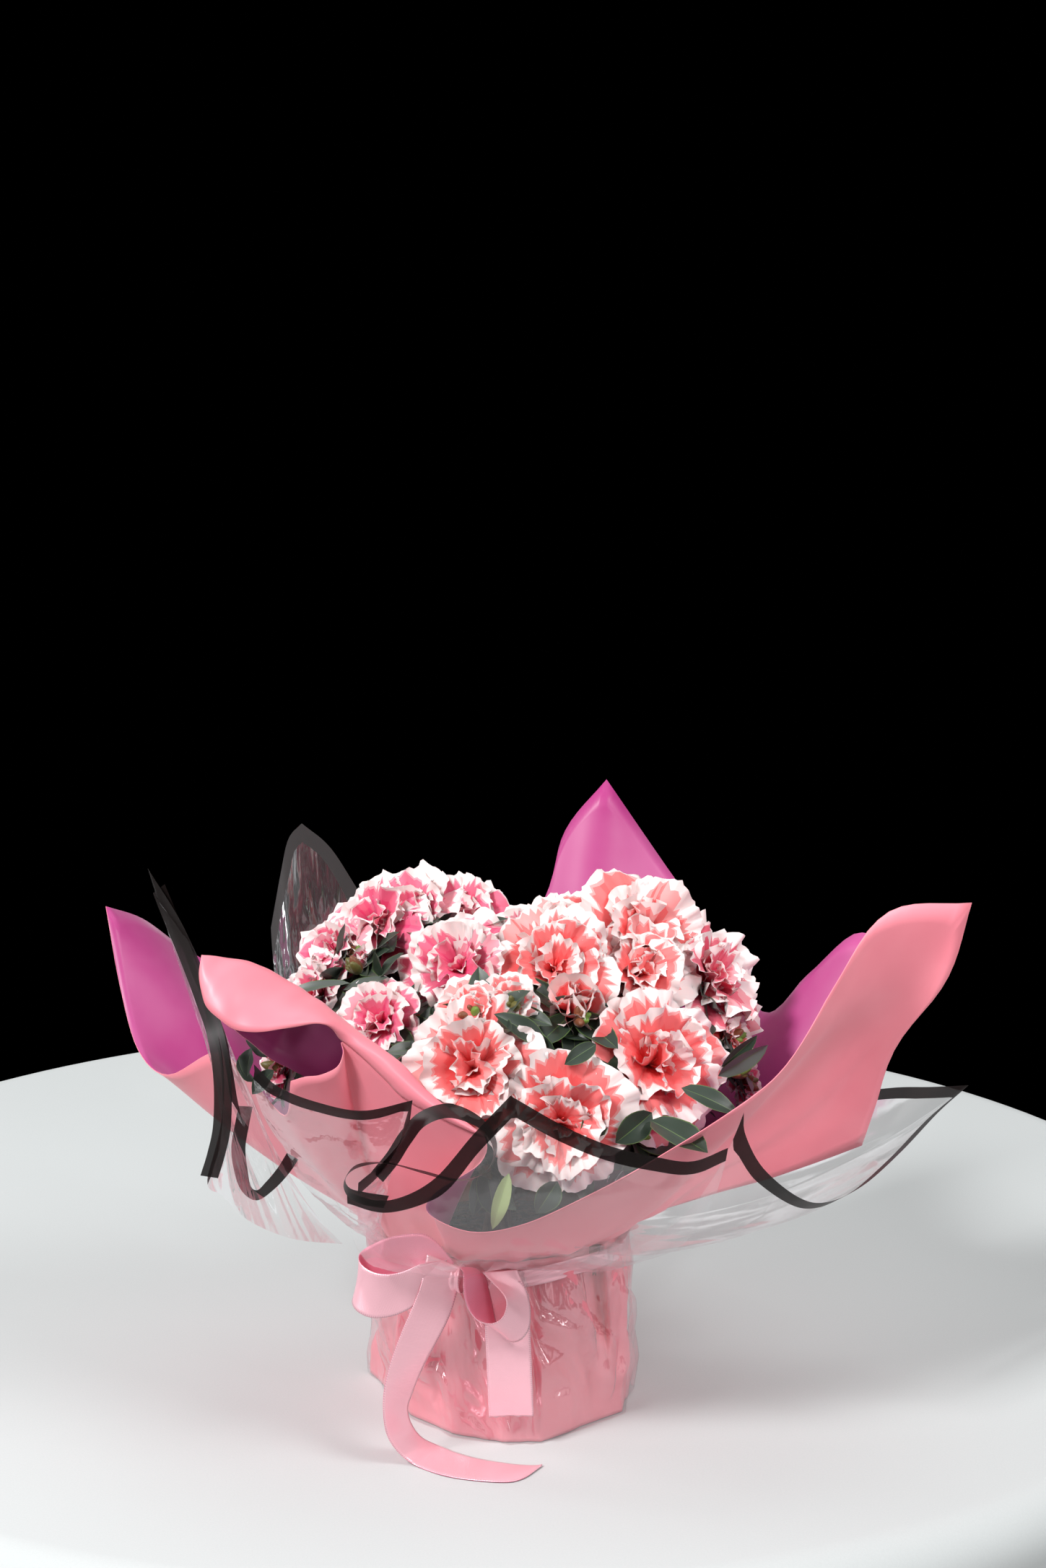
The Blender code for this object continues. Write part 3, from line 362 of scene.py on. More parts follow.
class Shading:
    """A tree of shader nodes."""

    def __init__(self, tree):
        self.tree = tree

    def node(self, kind, settings=None, inputs=None):
        """Any node: its settings are set first, then the values or links of its sockets."""
        made = self.tree.nodes.new("ShaderNode" + kind)
        for name, value in (settings or {}).items():
            setattr(made, name, value)
        for name, value in (inputs or {}).items():
            if isinstance(value, Number):
                value = value.socket
            if isinstance(value, bpy.types.NodeSocket):
                self.tree.links.new(value, made.inputs[name])
            elif isinstance(value, tuple) and len(value) == 3 and made.inputs[name].type == "RGBA":
                made.inputs[name].default_value = (*value, 1)
            else:
                made.inputs[name].default_value = value
        return made


class Finish(Shading):
    """One node-based material."""

    def __init__(self, name):
        self.material = bpy.data.materials.new(name)
        self.material.use_nodes = True
        super().__init__(self.material.node_tree)
        self.tree.nodes.clear()
        self.output = self.tree.nodes.new("ShaderNodeOutputMaterial")

    def noise(self, scale, detail, stretch=(1, 1, 1)):
        """Noise on Object coordinates, as a Number from 0 to 1. Scale is in waves to the metre."""
        place = self.node("TexCoord").outputs["Object"]
        turned = self.node("Mapping", None, {"Vector": place, "Scale": stretch})
        inputs = {"Vector": turned.outputs[0], "Scale": scale, "Detail": detail}
        return Number(self, self.node("TexNoise", None, inputs).outputs["Fac"])

    def mix(self, factor, first, second):
        """A colour between two colours."""
        made = self.node("Mix", {"data_type": "RGBA"}, {0: factor, 6: first, 7: second})
        return made.outputs[2]

    def bump(self, height, strength, distance):
        made = self.node("Bump", None, {"Height": height, "Strength": strength, "Distance": distance})
        return made.outputs[0]

    def show(self, shader):
        self.tree.links.new(shader.outputs[0], self.output.inputs["Surface"])
        return self.material

    def surface(self, **inputs):
        """Shows a principled surface. In the names of its inputs an underscore stands for a space."""
        named = {name.replace("_", " "): value for name, value in inputs.items()}
        return self.show(self.node("BsdfPrincipled", None, named))


def lighter(colour, share):
    """A colour moved towards white by a share."""
    return tuple(c + (1 - c) * share for c in colour)


def darker(colour, share):
    """A colour moved towards black by a share."""
    return tuple(c * (1 - share) for c in colour)


def between(first, second, share):
    """A colour at a share of the way from the first to the second."""
    return tuple(a + (b - a) * share for a, b in zip(first, second))


# ---------------------------------------------------------------- finishes
def petal_finish(name, colour):
    return Finish("petal " + name).surface(
        Base_Color=colour, Roughness=0.6, Subsurface_Weight=0.35, Subsurface_Radius=(1.0, 0.45, 0.4),
        Subsurface_Scale=0.004, Sheen_Weight=0.1, Sheen_Roughness=0.5)


def leaf_finish(name, colour, roughness=0.42):
    return Finish("leaf " + name).surface(Base_Color=colour, Roughness=roughness, Coat_Weight=0.12,
                                          Coat_Roughness=0.3, Sheen_Weight=0.2, Sheen_Roughness=0.4)


def bark_finish():
    finish = Finish("azalea bark")
    streaks = finish.noise(220, 6, (1, 1, 0.25))
    flecks = finish.noise(900, 3)
    shade = finish.mix(streaks.step(0.35, 0.65), srgb(74, 54, 40), srgb(128, 104, 84))
    shade = finish.mix(flecks.step(0.62, 0.75) * 0.6, shade, srgb(150, 140, 120))
    relief = finish.bump(streaks + flecks * 0.4, 0.8, 0.001)
    return finish.surface(Base_Color=shade, Roughness=0.88, Normal=relief)


def peat_finish():
    finish = Finish("peat")
    crumbs = finish.noise(260, 8)
    fibres = finish.noise(700, 4, (1, 0.2, 1))
    shade = finish.mix(crumbs.step(0.35, 0.7), srgb(30, 20, 14), srgb(84, 60, 42))
    shade = finish.mix(fibres.step(0.66, 0.76), shade, srgb(140, 112, 84))
    relief = finish.bump(crumbs + fibres * 0.5, 1.0, 0.004)
    return finish.surface(Base_Color=shade, Roughness=0.97, Normal=relief)


def pot_finish():
    finish = Finish("terracotta plastic")
    rub = finish.noise(60, 4)
    grain = finish.noise(2600, 2)
    shade = finish.mix(rub, srgb(132, 74, 50), srgb(154, 92, 66))
    relief = finish.bump(grain, 0.15, 0.0003)
    return finish.surface(Base_Color=shade, Roughness=rub * 0.2 + 0.42, Normal=relief)


def paper_finish(name, colour, roughness):
    """Satin wrapping paper: a faint pearly cloudiness and a fine fibre."""
    finish = Finish(name)
    cloud = finish.noise(16, 3)
    fibre = finish.noise(1500, 3, (1, 1, 0.3))
    shade = finish.mix(cloud.step(0.3, 0.7), darker(colour, 0.05), lighter(colour, 0.05))
    relief = finish.bump(fibre, 0.06, 0.0002)
    return finish.surface(Base_Color=shade, Roughness=cloud * 0.12 + roughness, Normal=relief,
                          Sheen_Weight=0.1, Sheen_Roughness=0.4, Coat_Weight=0.2, Coat_Roughness=0.3)


def film_finish(name, haze, crinkle, scale, gloss=0.04, depth=0.004, stretch=(1, 1, 1)):
    """Clear film: what is behind shows through, with a mirror that strengthens at a slant."""
    finish = Finish(name)
    waves = finish.noise(scale, 3, stretch)
    creases = finish.noise(scale * 0.4, 2, stretch)
    ridge = (creases - 0.5).unary("ABSOLUTE")
    relief = finish.bump(waves * 0.4 - ridge * 1.6, crinkle, depth)
    mirror = finish.node("BsdfPrincipled", None, {
        "Base Color": (0.96, 0.97, 1.0), "Metallic": 1.0, "Roughness": 0.09, "Normal": relief})
    milk = finish.node("BsdfPrincipled", None, {
        "Base Color": (0.94, 0.92, 0.92), "Roughness": 0.3, "Normal": relief})
    clear = finish.node("BsdfTransparent", None, {"Color": (0.985, 0.985, 0.985)})
    slant = Number(finish, finish.node("Fresnel", None, {"IOR": 1.45, "Normal": relief}).outputs[0])
    body = finish.node("MixShader", None, {0: haze, 1: clear.outputs[0], 2: milk.outputs[0]})
    shine = slant.maths("MINIMUM", slant * 0.9 + gloss, 0.4)
    sheet = finish.node("MixShader", None, {0: shine, 1: body.outputs[0], 2: mirror.outputs[0]})
    return finish.show(sheet)


def border_finish(name, colour):
    """The printed dark border: nearly opaque, with a soft, low gloss."""
    finish = Finish(name)
    cloud = finish.noise(30, 2)
    return finish.surface(Base_Color=colour, Roughness=cloud * 0.12 + 0.34, Specular_IOR_Level=0.16,
                          Alpha=0.96)


def satin_finish(name, colour, roughness):
    """Woven satin: a fine slanting twill, and a picot of stitches along both edges."""
    finish = Finish(name)
    place = finish.node("UVMap", {"uv_map": "along"}).outputs[0]
    split = finish.node("SeparateXYZ", None, {0: place})
    along, across = Number(finish, split.outputs[0]), Number(finish, split.outputs[1])
    twill = ((along + across * 0.5) * 7000).unary("SINE")
    off_centre = (across / HALF_RIBBON).unary("ABSOLUTE")
    edge = off_centre.step(0.90, 0.93)
    stitch = (along * 5200).unary("SINE").step(-0.2, 0.2)
    shade = finish.mix(edge * stitch * 0.5, colour, darker(colour, 0.45))
    relief = finish.bump(twill * 0.25 + edge * stitch * 2.0, 0.25, 0.0003)
    return finish.surface(Base_Color=shade, Roughness=roughness, Normal=relief, Anisotropic=0.6,
                          Metallic=0.3, Sheen_Weight=0.35, Sheen_Roughness=0.3, Coat_Weight=0.3,
                          Coat_Roughness=0.2)


# ---------------------------------------------------------------- shaping helpers
def unit(value):
    """A value held between 0 and 1."""
    return min(max(value, 0), 1)


def spoke(first, second, angle):
    """The direction at an angle in the plane of two directions."""
    return first * math.cos(angle) + second * math.sin(angle)


def on_spline(points, place):
    """The point at place (0 to 1) on a smooth curve through the points."""
    along = unit(place) * (len(points) - 1)
    i = min(int(along), len(points) - 2)
    t = along - i
    p1, p2 = Vector(points[i]), Vector(points[i + 1])
    p0 = Vector(points[i - 1]) if i > 0 else p1 * 2 - p2
    p3 = Vector(points[i + 2]) if i + 2 < len(points) else p2 * 2 - p1
    return 0.5 * (p1 * 2 + (p2 - p0) * t + (p0 * 2 - p1 * 5 + p2 * 4 - p3) * t * t
                  + (p1 * 3 - p0 - p2 * 3 + p3) * t ** 3)


def smoothed(points):
    """Close points on the smooth curve through the points, and how far along it each one is."""
    fine = [on_spline(points, i / CURVE_STEPS) for i in range(CURVE_STEPS + 1)]
    lengths = [0.0]
    for a, b in zip(fine, fine[1:]):
        lengths.append(lengths[-1] + (b - a).length)
    return fine, lengths


def even_points(points, count):
    """Count + 1 points spaced evenly along the smooth curve through the points."""
    fine, lengths = smoothed(points)
    chosen, i = [], 0
    for k in range(count + 1):
        goal = lengths[-1] * k / count
        while i < len(lengths) - 2 and lengths[i + 1] < goal:
            i += 1
        span = max(lengths[i + 1] - lengths[i], 1e-9)
        chosen.append(fine[i].lerp(fine[i + 1], unit((goal - lengths[i]) / span)))
    return chosen


def around(axis):
    """Two unit vectors square to an axis and to each other."""
    first = axis.orthogonal().normalized()
    return first, axis.cross(first).normalized()


def grid_on(mesh, rows):
    """Adds a grid to a bmesh, with its corners moved to rows of points in millimetres."""
    made = bmesh.ops.create_grid(mesh, x_segments=len(rows[0]) - 1, y_segments=len(rows) - 1, size=0.5)
    points = [point for row in rows for point in row]
    for corner, point in zip(made["verts"], points):
        corner.co = Vector(point) * MM
    return made["verts"]


def faces_of(corners):
    """The faces of a grid just added, row by row."""
    return sorted({face for corner in corners for face in corner.link_faces}, key=lambda face: face.index)


def tube_on(mesh, path, radii, sides):
    """Adds a tapering tube along a path in millimetres, closed at its ends."""
    path = [Vector(p) for p in path]
    first, _ = around((path[-1] - path[0]).normalized())
    angles = [math.tau * k / sides for k in range(sides + 1)]
    rows = []
    for i, centre in enumerate(path):
        ahead = (path[min(i + 1, len(path) - 1)] - path[max(i - 1, 0)]).normalized()
        across = (first - ahead * first.dot(ahead)).normalized()
        over = ahead.cross(across)
        rows.append([centre + spoke(across, over, angle) * radii[i] for angle in angles])
    corners = grid_on(mesh, rows)
    bmesh.ops.remove_doubles(mesh, verts=corners, dist=1e-7)
    rims = [edge for edge in mesh.edges if edge.is_boundary]
    bmesh.ops.holes_fill(mesh, edges=rims, sides=sides)


def closed_on(mesh, rows):
    """Adds a grid whose last column meets its first."""
    corners = grid_on(mesh, rows)
    bmesh.ops.remove_doubles(mesh, verts=corners, dist=1e-6)


class Heap:
    """Collects many small bmeshes into one piece."""

    def __init__(self):
        self.whole = bmesh.new()
        self.scratch = bpy.data.meshes.new("scratch")

    def add(self, mesh):
        mesh.to_mesh(self.scratch)
        mesh.free()
        self.whole.from_mesh(self.scratch)

    def piece(self, name, materials, slot, *nodes):
        bpy.data.meshes.remove(self.scratch)
        piece_from(name, self.whole, materials, slot, *nodes)


def piece_from(name, mesh, materials, slot, *nodes, thickness=0):
    """Turns a bmesh into a piece that rides on the plant and stands for the named nodes.

    With a thickness in metres it becomes a sheet, with the last of its materials on its inner side.
    """
    data = bpy.data.meshes.new(name)
    mesh.normal_update()
    mesh.to_mesh(data)
    mesh.free()
    made = bpy.data.objects.new(name, data)
    bpy.context.scene.collection.objects.link(made)
    for material in materials:
        data.materials.append(material)
    data.polygons.foreach_set("use_smooth", [True] * len(data.polygons))
    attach(made, "root")
    if nodes:
        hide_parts(*nodes)
    if thickness:
        solid = made.modifiers.new("thickness", "SOLIDIFY")
        solid.thickness = thickness
        solid.offset = 0
        solid.use_even_offset = False
        solid.material_offset = len(materials) - 1


def neck_point(degrees, radius, height):
    """The point in a direction at a radius and height round the pot's axis."""
    angle = math.radians(degrees)
    return Vector((radius * math.cos(angle), radius * math.sin(angle), height))


def meridian(foot, edge, belly, share):
    """A point between foot (0) and free edge (1), bellying outwards and down."""
    span = (edge - foot).normalized()
    out = Vector((foot.x, foot.y, 0)).normalized()
    sag = (out - span * out.dot(span)).normalized()
    middle = foot.lerp(edge, 0.45) + sag * belly
    middle.z = max(middle.z, foot.z + 5)
    return foot * (1 - share) ** 2 + middle * 2 * share * (1 - share) + edge * share * share


# ---------------------------------------------------------------- the plant
def trunk_path():
    """The trunk's centre line from the peat to its fork, and its radii, with the root flare."""
    path, radii = [], []
    for i in range(TRUNK_STEPS + 1):
        t = i / TRUNK_STEPS
        lean = max(t - 0.12, 0.0)
        path.append((TRUNK_LEAN[0] * lean, TRUNK_LEAN[1] * lean, SOIL_TOP + TRUNK_HEIGHT * t))
        flare = (TRUNK_RADII[0] - TRUNK_RADII[1] * 1.15) * (1 - t) ** 5
        radii.append(TRUNK_RADII[1] * (1.15 - 0.15 * t) + flare)
    return path, radii


def bough_path(tip, height):
    """A bough's centre line, from a height on the trunk to its tip."""
    tip = Vector(tip)
    start = Vector((TRUNK_LEAN[0] * 0.6, TRUNK_LEAN[1] * 0.6, height))
    middle = (start + tip) / 2 - Vector((0, 0, 5))
    return even_points([start, start.lerp(middle, 0.55), middle, middle.lerp(tip, 0.5), tip], 9)


class AZALEA_OT_bark(bpy.types.Operator):
    """Trunk and boughs with the bark's relief"""

    bl_idname = "azalea.bark"
    bl_label = "Trunk and boughs"

    def execute(self, context):
        heap = Heap()
        limbs = [(*trunk_path(), 20)]
        for fork, tip, _, _ in MASSES.values():
            path = bough_path(tip, SOIL_TOP + TRUNK_HEIGHT * fork)
            limbs.append((path, [3.0 - 1.0 * i / (len(path) - 1) for i in range(len(path))], 10))
        for path, radii, sides in limbs:
            mesh = bmesh.new()
            tube_on(mesh, path, radii, sides)
            bmesh.ops.subdivide_edges(mesh, edges=mesh.edges[:], cuts=1, use_grid_fill=True)
            mesh.normal_update()
            for corner in mesh.verts:
                place = Vector((corner.co.x * 900, corner.co.y * 900, corner.co.z * 260))
                relief = noise.noise(place) * 0.45 + noise.noise(place * 2.7) * 0.2
                corner.co += corner.normal * relief * MM
            heap.add(mesh)
        nodes = ["trunk"] + ["bough_" + name for name in MASSES]
        heap.piece("stem_bark", [bark_finish()], "bark", *nodes)
        return {"FINISHED"}


class AZALEA_OT_pot(bpy.types.Operator):
    """Finishes of the plastic pot and of the peat in it"""

    bl_idname = "azalea.pot"
    bl_label = "Pot and peat"

    def execute(self, context):
        for node, finish in (("pot", pot_finish()), ("root_ball", peat_finish())):
            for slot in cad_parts[node].material_slots:
                slot.material = finish
        return {"FINISHED"}


# How far out each row of a petal lies, and the tone of each band between two rows.
PETAL_ROWS = [0.05, 0.25, 0.50, 0.70, 0.82, 0.885, 0.93, 0.965, 1.0]
PETAL_TONES = [0, 1, 2, 3, 3, 4, 5, 5]


def petal_on(mesh, base, axis, outward, length, spread, opening, ruffle, chance, columns):
    """One petal, round like a shell: rays fan out from its claw, and rows follow its bands of tone."""
    side = axis.cross(outward).normalized()
    start, end = opening
    phase, second, third = (chance.uniform(0, math.tau) for _ in range(3))
    waves = chance.choice((0.9, 1.2, 1.6))
    field = chance.uniform(0.92, 1.10)
    lean = chance.uniform(-0.10, 0.10)
    hollow = chance.uniform(0.10, 0.26)
    rim = len(PETAL_ROWS) - 1
    rows = [[] for _ in PETAL_ROWS]
    for k in range(columns + 1):
        u = 2 * k / columns - 1
        fan = u * spread * 0.5
        ragged = 0.022 * chance.uniform(-1, 1) + 0.02 * math.sin(9 * u + third)
        reach = length * math.cos(fan * 0.94) ** 0.8 * (1 + lean * u)
        streak = (0.02 if k % 2 else -0.02) + chance.uniform(-0.12, 0.02)
        streak += 0.17 * noise.noise(Vector((u * 1.7 + phase, third * 3, 0)))
        pinch = abs(u) ** 5
        wave = math.sin(waves * math.pi * u + phase) * 0.9 - 0.4 * (1 - abs(u)) ** 3
        frill = math.sin(waves * 2.3 * math.pi * u + second) * 0.7
        frill += math.sin(4.6 * math.pi * u + third) * 0.5
        crimp = math.sin(8.2 * math.pi * u + second) * 0.5
        for j, share in enumerate(PETAL_ROWS):
            r = share
            if 0 < j < rim:
                r = (share + streak * (0.3 + share)) * field * (1 - pinch) + (0.14 + 0.07 * j) * pinch
                r = min(max(r, 0.07 + 0.04 * j), 0.92 + 0.01 * j)
            along = reach * r * (1 + (ragged if j == rim else 0))
            turn = start + (end - start) * r
            mean = start + (end - start) * r * 0.55
            middle = spoke(axis, outward, mean) * along * math.cos(fan)
            lateral = side * along * math.sin(fan)
            over = axis * math.sin(turn) - outward * math.cos(turn)
            lift = ruffle * length * (r ** 1.4 * wave + r ** 4 * frill + r ** 8 * crimp)
            lift += hollow * length * u * u * r
            rows[j].append(base + middle + lateral + over * lift)
    corners = grid_on(mesh, rows)
    veins = [chance.random() < 0.12 for _ in range(columns)]
    pale = chance.random() < 0.25
    for number, face in enumerate(faces_of(corners)):
        tone = PETAL_TONES[number // columns]
        if tone in (1, 2, 3):
            tone += pale - veins[number % columns]
        face.material_index = max(tone, 0)


BLOOM_RINGS = [
    # petals, length, opening at claw and rim (degrees), ruffle, spread (degrees)
    (5, 1.30, (46, 96), 1.0, 120),
    (5, 1.10, (26, 66), 1.25, 110),
    (4, 0.86, (8, 42), 1.5, 116),
    (2, 0.56, (-4, 22), 1.5, 130),
]
CLOSED_RINGS = [(4, 1.5, (34, 4), 0.5, 108), (4, 1.35, (24, -6), 0.5, 100)]
STAMENS = 5

# The masses that each colouring's piece of blooms stands for.
BLOOMS_STAND_FOR = {
    "coral": ["mass_front", "mass_right_front", "mass_top", "mass_back"],
    "rose": ["mass_left_front", "mass_left", "mass_back_left"],
    "hot": ["mass_right", "mass_back_right"],
}


def bloom_on(mesh, centre, facing, size, closed, ruffle, chance):
    """A double bloom of several rings of ruffled petals, or a closed one like a small tulip."""
    first, second = around(facing)
    base = centre - facing * size * (0.9 if closed else 0.55)
    columns = 36 if size > 30 else 28 if size > 22 else 20
    for ring, (count, length, opening, wavy, spread) in enumerate(CLOSED_RINGS if closed else BLOOM_RINGS):
        turn = chance.uniform(0, math.tau)
        for k in range(count):
            outward = spoke(first, second, turn + math.tau * (k + chance.uniform(-0.2, 0.2)) / count)
            tilt = chance.uniform(-9, 9)
            reach = size * length * chance.uniform(0.86, 1.06)
            fan = math.radians(spread * chance.uniform(0.9, 1.1))
            angles = [math.radians(degrees + tilt) for degrees in opening]
            petal_on(mesh, base + facing * ring * size * 0.03, facing, outward, reach, fan, angles,
                     ruffle * wavy, chance, columns - 4 * (ring > 2))
    if not closed:
        for k in range(STAMENS):
            lean = spoke(first, second, math.tau * k / STAMENS) * size * 0.10
            ends = [base + facing * size * 0.1, base + facing * size * 0.5 + lean]
            tube_on(mesh, ends, [size * 0.012] * 2, 3)


def bloom_facing(centre):
    """Away from the crown's heart. All but the rear blooms turn to the front, the top ones most."""
    facing = (centre - CROWN_CENTRE).normalized()
    if centre.y < TURNED_BLOOMS_TO_Y:
        facing.y -= 0.9 if centre.z > TOP_BLOOMS_FROM_Z else 0.5
    return facing.normalized()


class AZALEA_OT_blooms(bpy.types.Operator):
    """Double blooms with pale ragged margins, joined by colouring"""

    bl_idname = "azalea.blooms"
    bl_label = "Blooms"

    def execute(self, context):
        looks = context.scene.azalea_plant
        margin = tuple(looks.margin)
        chance = random.Random(looks.seed)
        hearts = {"coral": tuple(looks.coral), "rose": tuple(looks.rose), "hot": tuple(looks.hot)}
        for colouring, heart in hearts.items():
            tones = [darker(heart, 0.10)]
            tones += [between(heart, margin, share) for share in (0.02, 0.09, 0.16, 0.42)] + [margin]
            finishes = [petal_finish(f"{colouring} {number}", tone) for number, tone in enumerate(tones)]
            heap = Heap()
            for _, _, _, blooms in MASSES.values():
                for x, y, z, size, kind in blooms:
                    closed = kind == "closed"
                    if closed:
                        kind = "coral" if x > 0 else "rose"
                    if kind != colouring:
                        continue
                    centre = Vector((x, y, z))
                    mesh = bmesh.new()
                    bloom_on(mesh, centre, bloom_facing(centre), size, closed, looks.ruffle, chance)
                    heap.add(mesh)
            heap.piece("blooms_" + colouring, finishes, "foliage", *BLOOMS_STAND_FOR[colouring])
        return {"FINISHED"}


# Columns across a leaf, from one rim by the midrib to the other, and the finishes of its faces.
LEAF_COLUMNS = [-1, -0.93, -0.5, -0.03, 0.03, 0.5, 0.93, 1]
LEAF_GREENS = ["dark", "deep", "mid", "pale", "rim"]
LEAF_STEPS = 8


def leaf_on(mesh, root, along, upward, length, width, green, chance):
    """One leaf: a folded lens drooping to a point, with its rim and midrib in a lighter green."""
    side = along.cross(upward).normalized()
    over = side.cross(along).normalized()
    droop = chance.uniform(0.02, 0.22)
    twist = chance.uniform(-0.3, 0.3)
    fold = chance.uniform(0.15, 0.5)
    rows = []
    phase = chance.uniform(0, math.tau)
    for j in range(LEAF_STEPS + 1):
        v = j / LEAF_STEPS
        half = width / 2 * max(math.sin(math.pi * v ** 0.92), 0.0) ** 0.66
        centre = root + along * length * v - over * droop * length * v * v
        turned = spoke(side, over, twist * v)
        rise = over * math.cos(twist * v) - side * math.sin(twist * v)
        wave = 0.10 * math.sin(9 * v + phase)
        rows.append([centre + turned * u * half + rise * half * (abs(u) * fold + u * wave)
                     for u in LEAF_COLUMNS])
    corners = grid_on(mesh, rows)
    across = len(LEAF_COLUMNS) - 1
    for number, face in enumerate(faces_of(corners)):
        on_rim = number % across in (0, across // 2, across - 1)
        face.material_index = LEAF_GREENS.index("rim" if on_rim and green != "pale" else green)


def tufts():
    """Leafy tips round the crown's lower rim, as (place, direction)."""
    places = []
    for k in range(TUFT_COUNT):
        angle = math.tau * (k + 0.35) / TUFT_COUNT
        place = Vector((TUFT_CENTRE[0] + TUFT_RADIUS[0] * math.cos(angle),
                        TUFT_CENTRE[1] + TUFT_RADIUS[1] * math.sin(angle),
                        TUFT_HEIGHT + 9.0 * math.cos(k * 2.4)))
        places.append((place, (place - CROWN_CENTRE).normalized()))
    return places


def nearest_mass(place):
    """The mass that a place belongs to: the one with the nearest site."""
    return min(MASSES, key=lambda name: (Vector(MASSES[name][2]) - place).length)


def twig_rule(name):
    """The solids' rule for one mass: (start, end, facing, bloom radius) of each twig, and its stem."""
    fork, tip, site, blooms = MASSES[name]
    path = bough_path(tip, SOIL_TOP + TRUNK_HEIGHT * fork)
    direction = (path[-1] - path[-2]).normalized()
    knee = Vector(tip) + direction * 9
    hub = knee.lerp(Vector(site), 0.45)
    joints = [knee, knee.lerp(hub, 0.5), hub]
    targets = []
    for x, y, z, size, _ in blooms:
        centre = Vector((x, y, z))
        facing = (centre - CROWN_CENTRE).normalized()
        targets.append((centre - facing * size * 0.40, facing, size))
    targets += [(place, facing, 0) for place, facing in tufts() if nearest_mass(place) == name]
    targets.sort(key=lambda item: (item[0] - hub).length)
    twigs = []
    for base, facing, size in targets:
        joint = min(joints, key=lambda p: (p - base).length + 0.4 * (p - hub).length)
        twigs.append((joint, base, facing, size))
        joints.append(joint.lerp(base, 0.55))
    return [Vector(tip), knee, hub], twigs


class AZALEA_OT_foliage(bpy.types.Operator):
    """Twigs, leaves and bud scales that grow on from the boughs"""

    bl_idname = "azalea.foliage"
    bl_label = "Twigs, leaves and buds"

    def execute(self, context):
        looks = context.scene.azalea_plant
        chance = random.Random(looks.seed + 1)
        length, width = looks.leaf_length / MM, looks.leaf_width / MM
        leaves, twigs, scales = Heap(), Heap(), Heap()
        walls = paper_walls()
        all_blooms = [(Vector(b[:3]), b[3]) for mass in MASSES.values() for b in mass[3]]
        for name in MASSES:
            stem, branches = twig_rule(name)
            mesh = bmesh.new()
            tube_on(mesh, even_points(stem, 6), [1.9 - 0.06 * i for i in range(7)], 7)
            for start, base, facing, _ in branches:
                middle = start.lerp(base, 0.5) + Vector((0, 0, (base - start).length * 0.07))
                tube_on(mesh, even_points([start, middle, base + facing], 4), [1.3, 1.2, 1.1, 1.0, 0.8], 5)
            twigs.add(mesh)
            mesh = bmesh.new()
            for start, base, facing, size in branches:
                for place, spread, count in ((base - facing * 2, 1.55 if size else 0.95, 8 if size else 9),
                                             (start.lerp(base, 0.62), 1.1, 5)):
                    whorl_on(mesh, place, facing, spread, count, length, width, all_blooms, walls, chance)
                if size < 20:
                    buds_on(scales, base + facing * 3, facing, chance, 4)
            leaves.add(mesh)
        mesh = bmesh.new()
        for root, tip, leaf_width, green in LONE_LEAVES:
            root, tip = Vector(root), Vector(tip)
            upward = (root.lerp(tip, 0.5) - CROWN_CENTRE).normalized()
            leaf_on(mesh, root, (tip - root).normalized(), upward, (tip - root).length, leaf_width, green,
                    chance)
        leaves.add(mesh)
        for place in map(Vector, BUD_CLUSTERS):
            buds_on(scales, place, (place - CROWN_CENTRE).normalized(), chance, 7)
        green = tuple(looks.leaf)
        greens = {"dark": green, "deep": darker(green, 0.35), "mid": lighter(green, 0.06),
                  "pale": srgb(152, 168, 112), "rim": between(green, srgb(104, 132, 66), 0.5)}
        leaves.piece("leaves", [leaf_finish(name, greens[name]) for name in LEAF_GREENS], "foliage")
        twigs.piece("twigs", [leaf_finish("twig", srgb(104, 92, 58), 0.7)], "foliage")
        buds = (("brown", (120, 66, 36)), ("olive", (98, 92, 40)), ("green", (104, 138, 48)))
        finishes = [leaf_finish("bud " + name, srgb(*shade), 0.5) for name, shade in buds]
        scales.piece("bud_scales", finishes, "foliage")
        return {"FINISHED"}


def paper_walls():
    """The paper as a tree of faces that rays can be cast against."""
    mesh = skirt_mesh()
    grid_on(mesh, hood_rows())
    walls = BVHTree.FromBMesh(mesh)
    mesh.free()
    return walls


def runs_into(walls, start, end):
    """Whether a straight line between two places meets the paper."""
    way = end - start
    return walls.ray_cast(start * MM, way.normalized(), way.length * 1.06 * MM)[0] is not None


def whorl_on(mesh, place, facing, spread, count, length, width, blooms, walls, chance):
    """Leaves round a twig, without those that would run into a bloom or the paper."""
    first, second = around(facing)
    turn = chance.uniform(0, math.tau)
    for k in range(count):
        angle = turn + math.tau * k / count + chance.uniform(-0.25, 0.25)
        lean = spread + chance.uniform(-0.3, 0.3)
        along = spoke(facing, spoke(first, second, angle), lean).normalized()
        size = chance.uniform(0.72, 1.15)
        tip = place + along * length * size
        if any((centre - tip).length < radius * BLOOM_CLEARANCE for centre, radius in blooms):
            continue
        if tip.z < LOWEST_LEAF_TIP or runs_into(walls, place, tip) or runs_into(walls, CROWN_CENTRE, tip):
            continue
        green = chance.choices(("dark", "deep", "mid"), (5, 4, 2))[0]
        leaf_on(mesh, place, along, facing, length * size, width * size * chance.uniform(0.9, 1.2), green,
                chance)


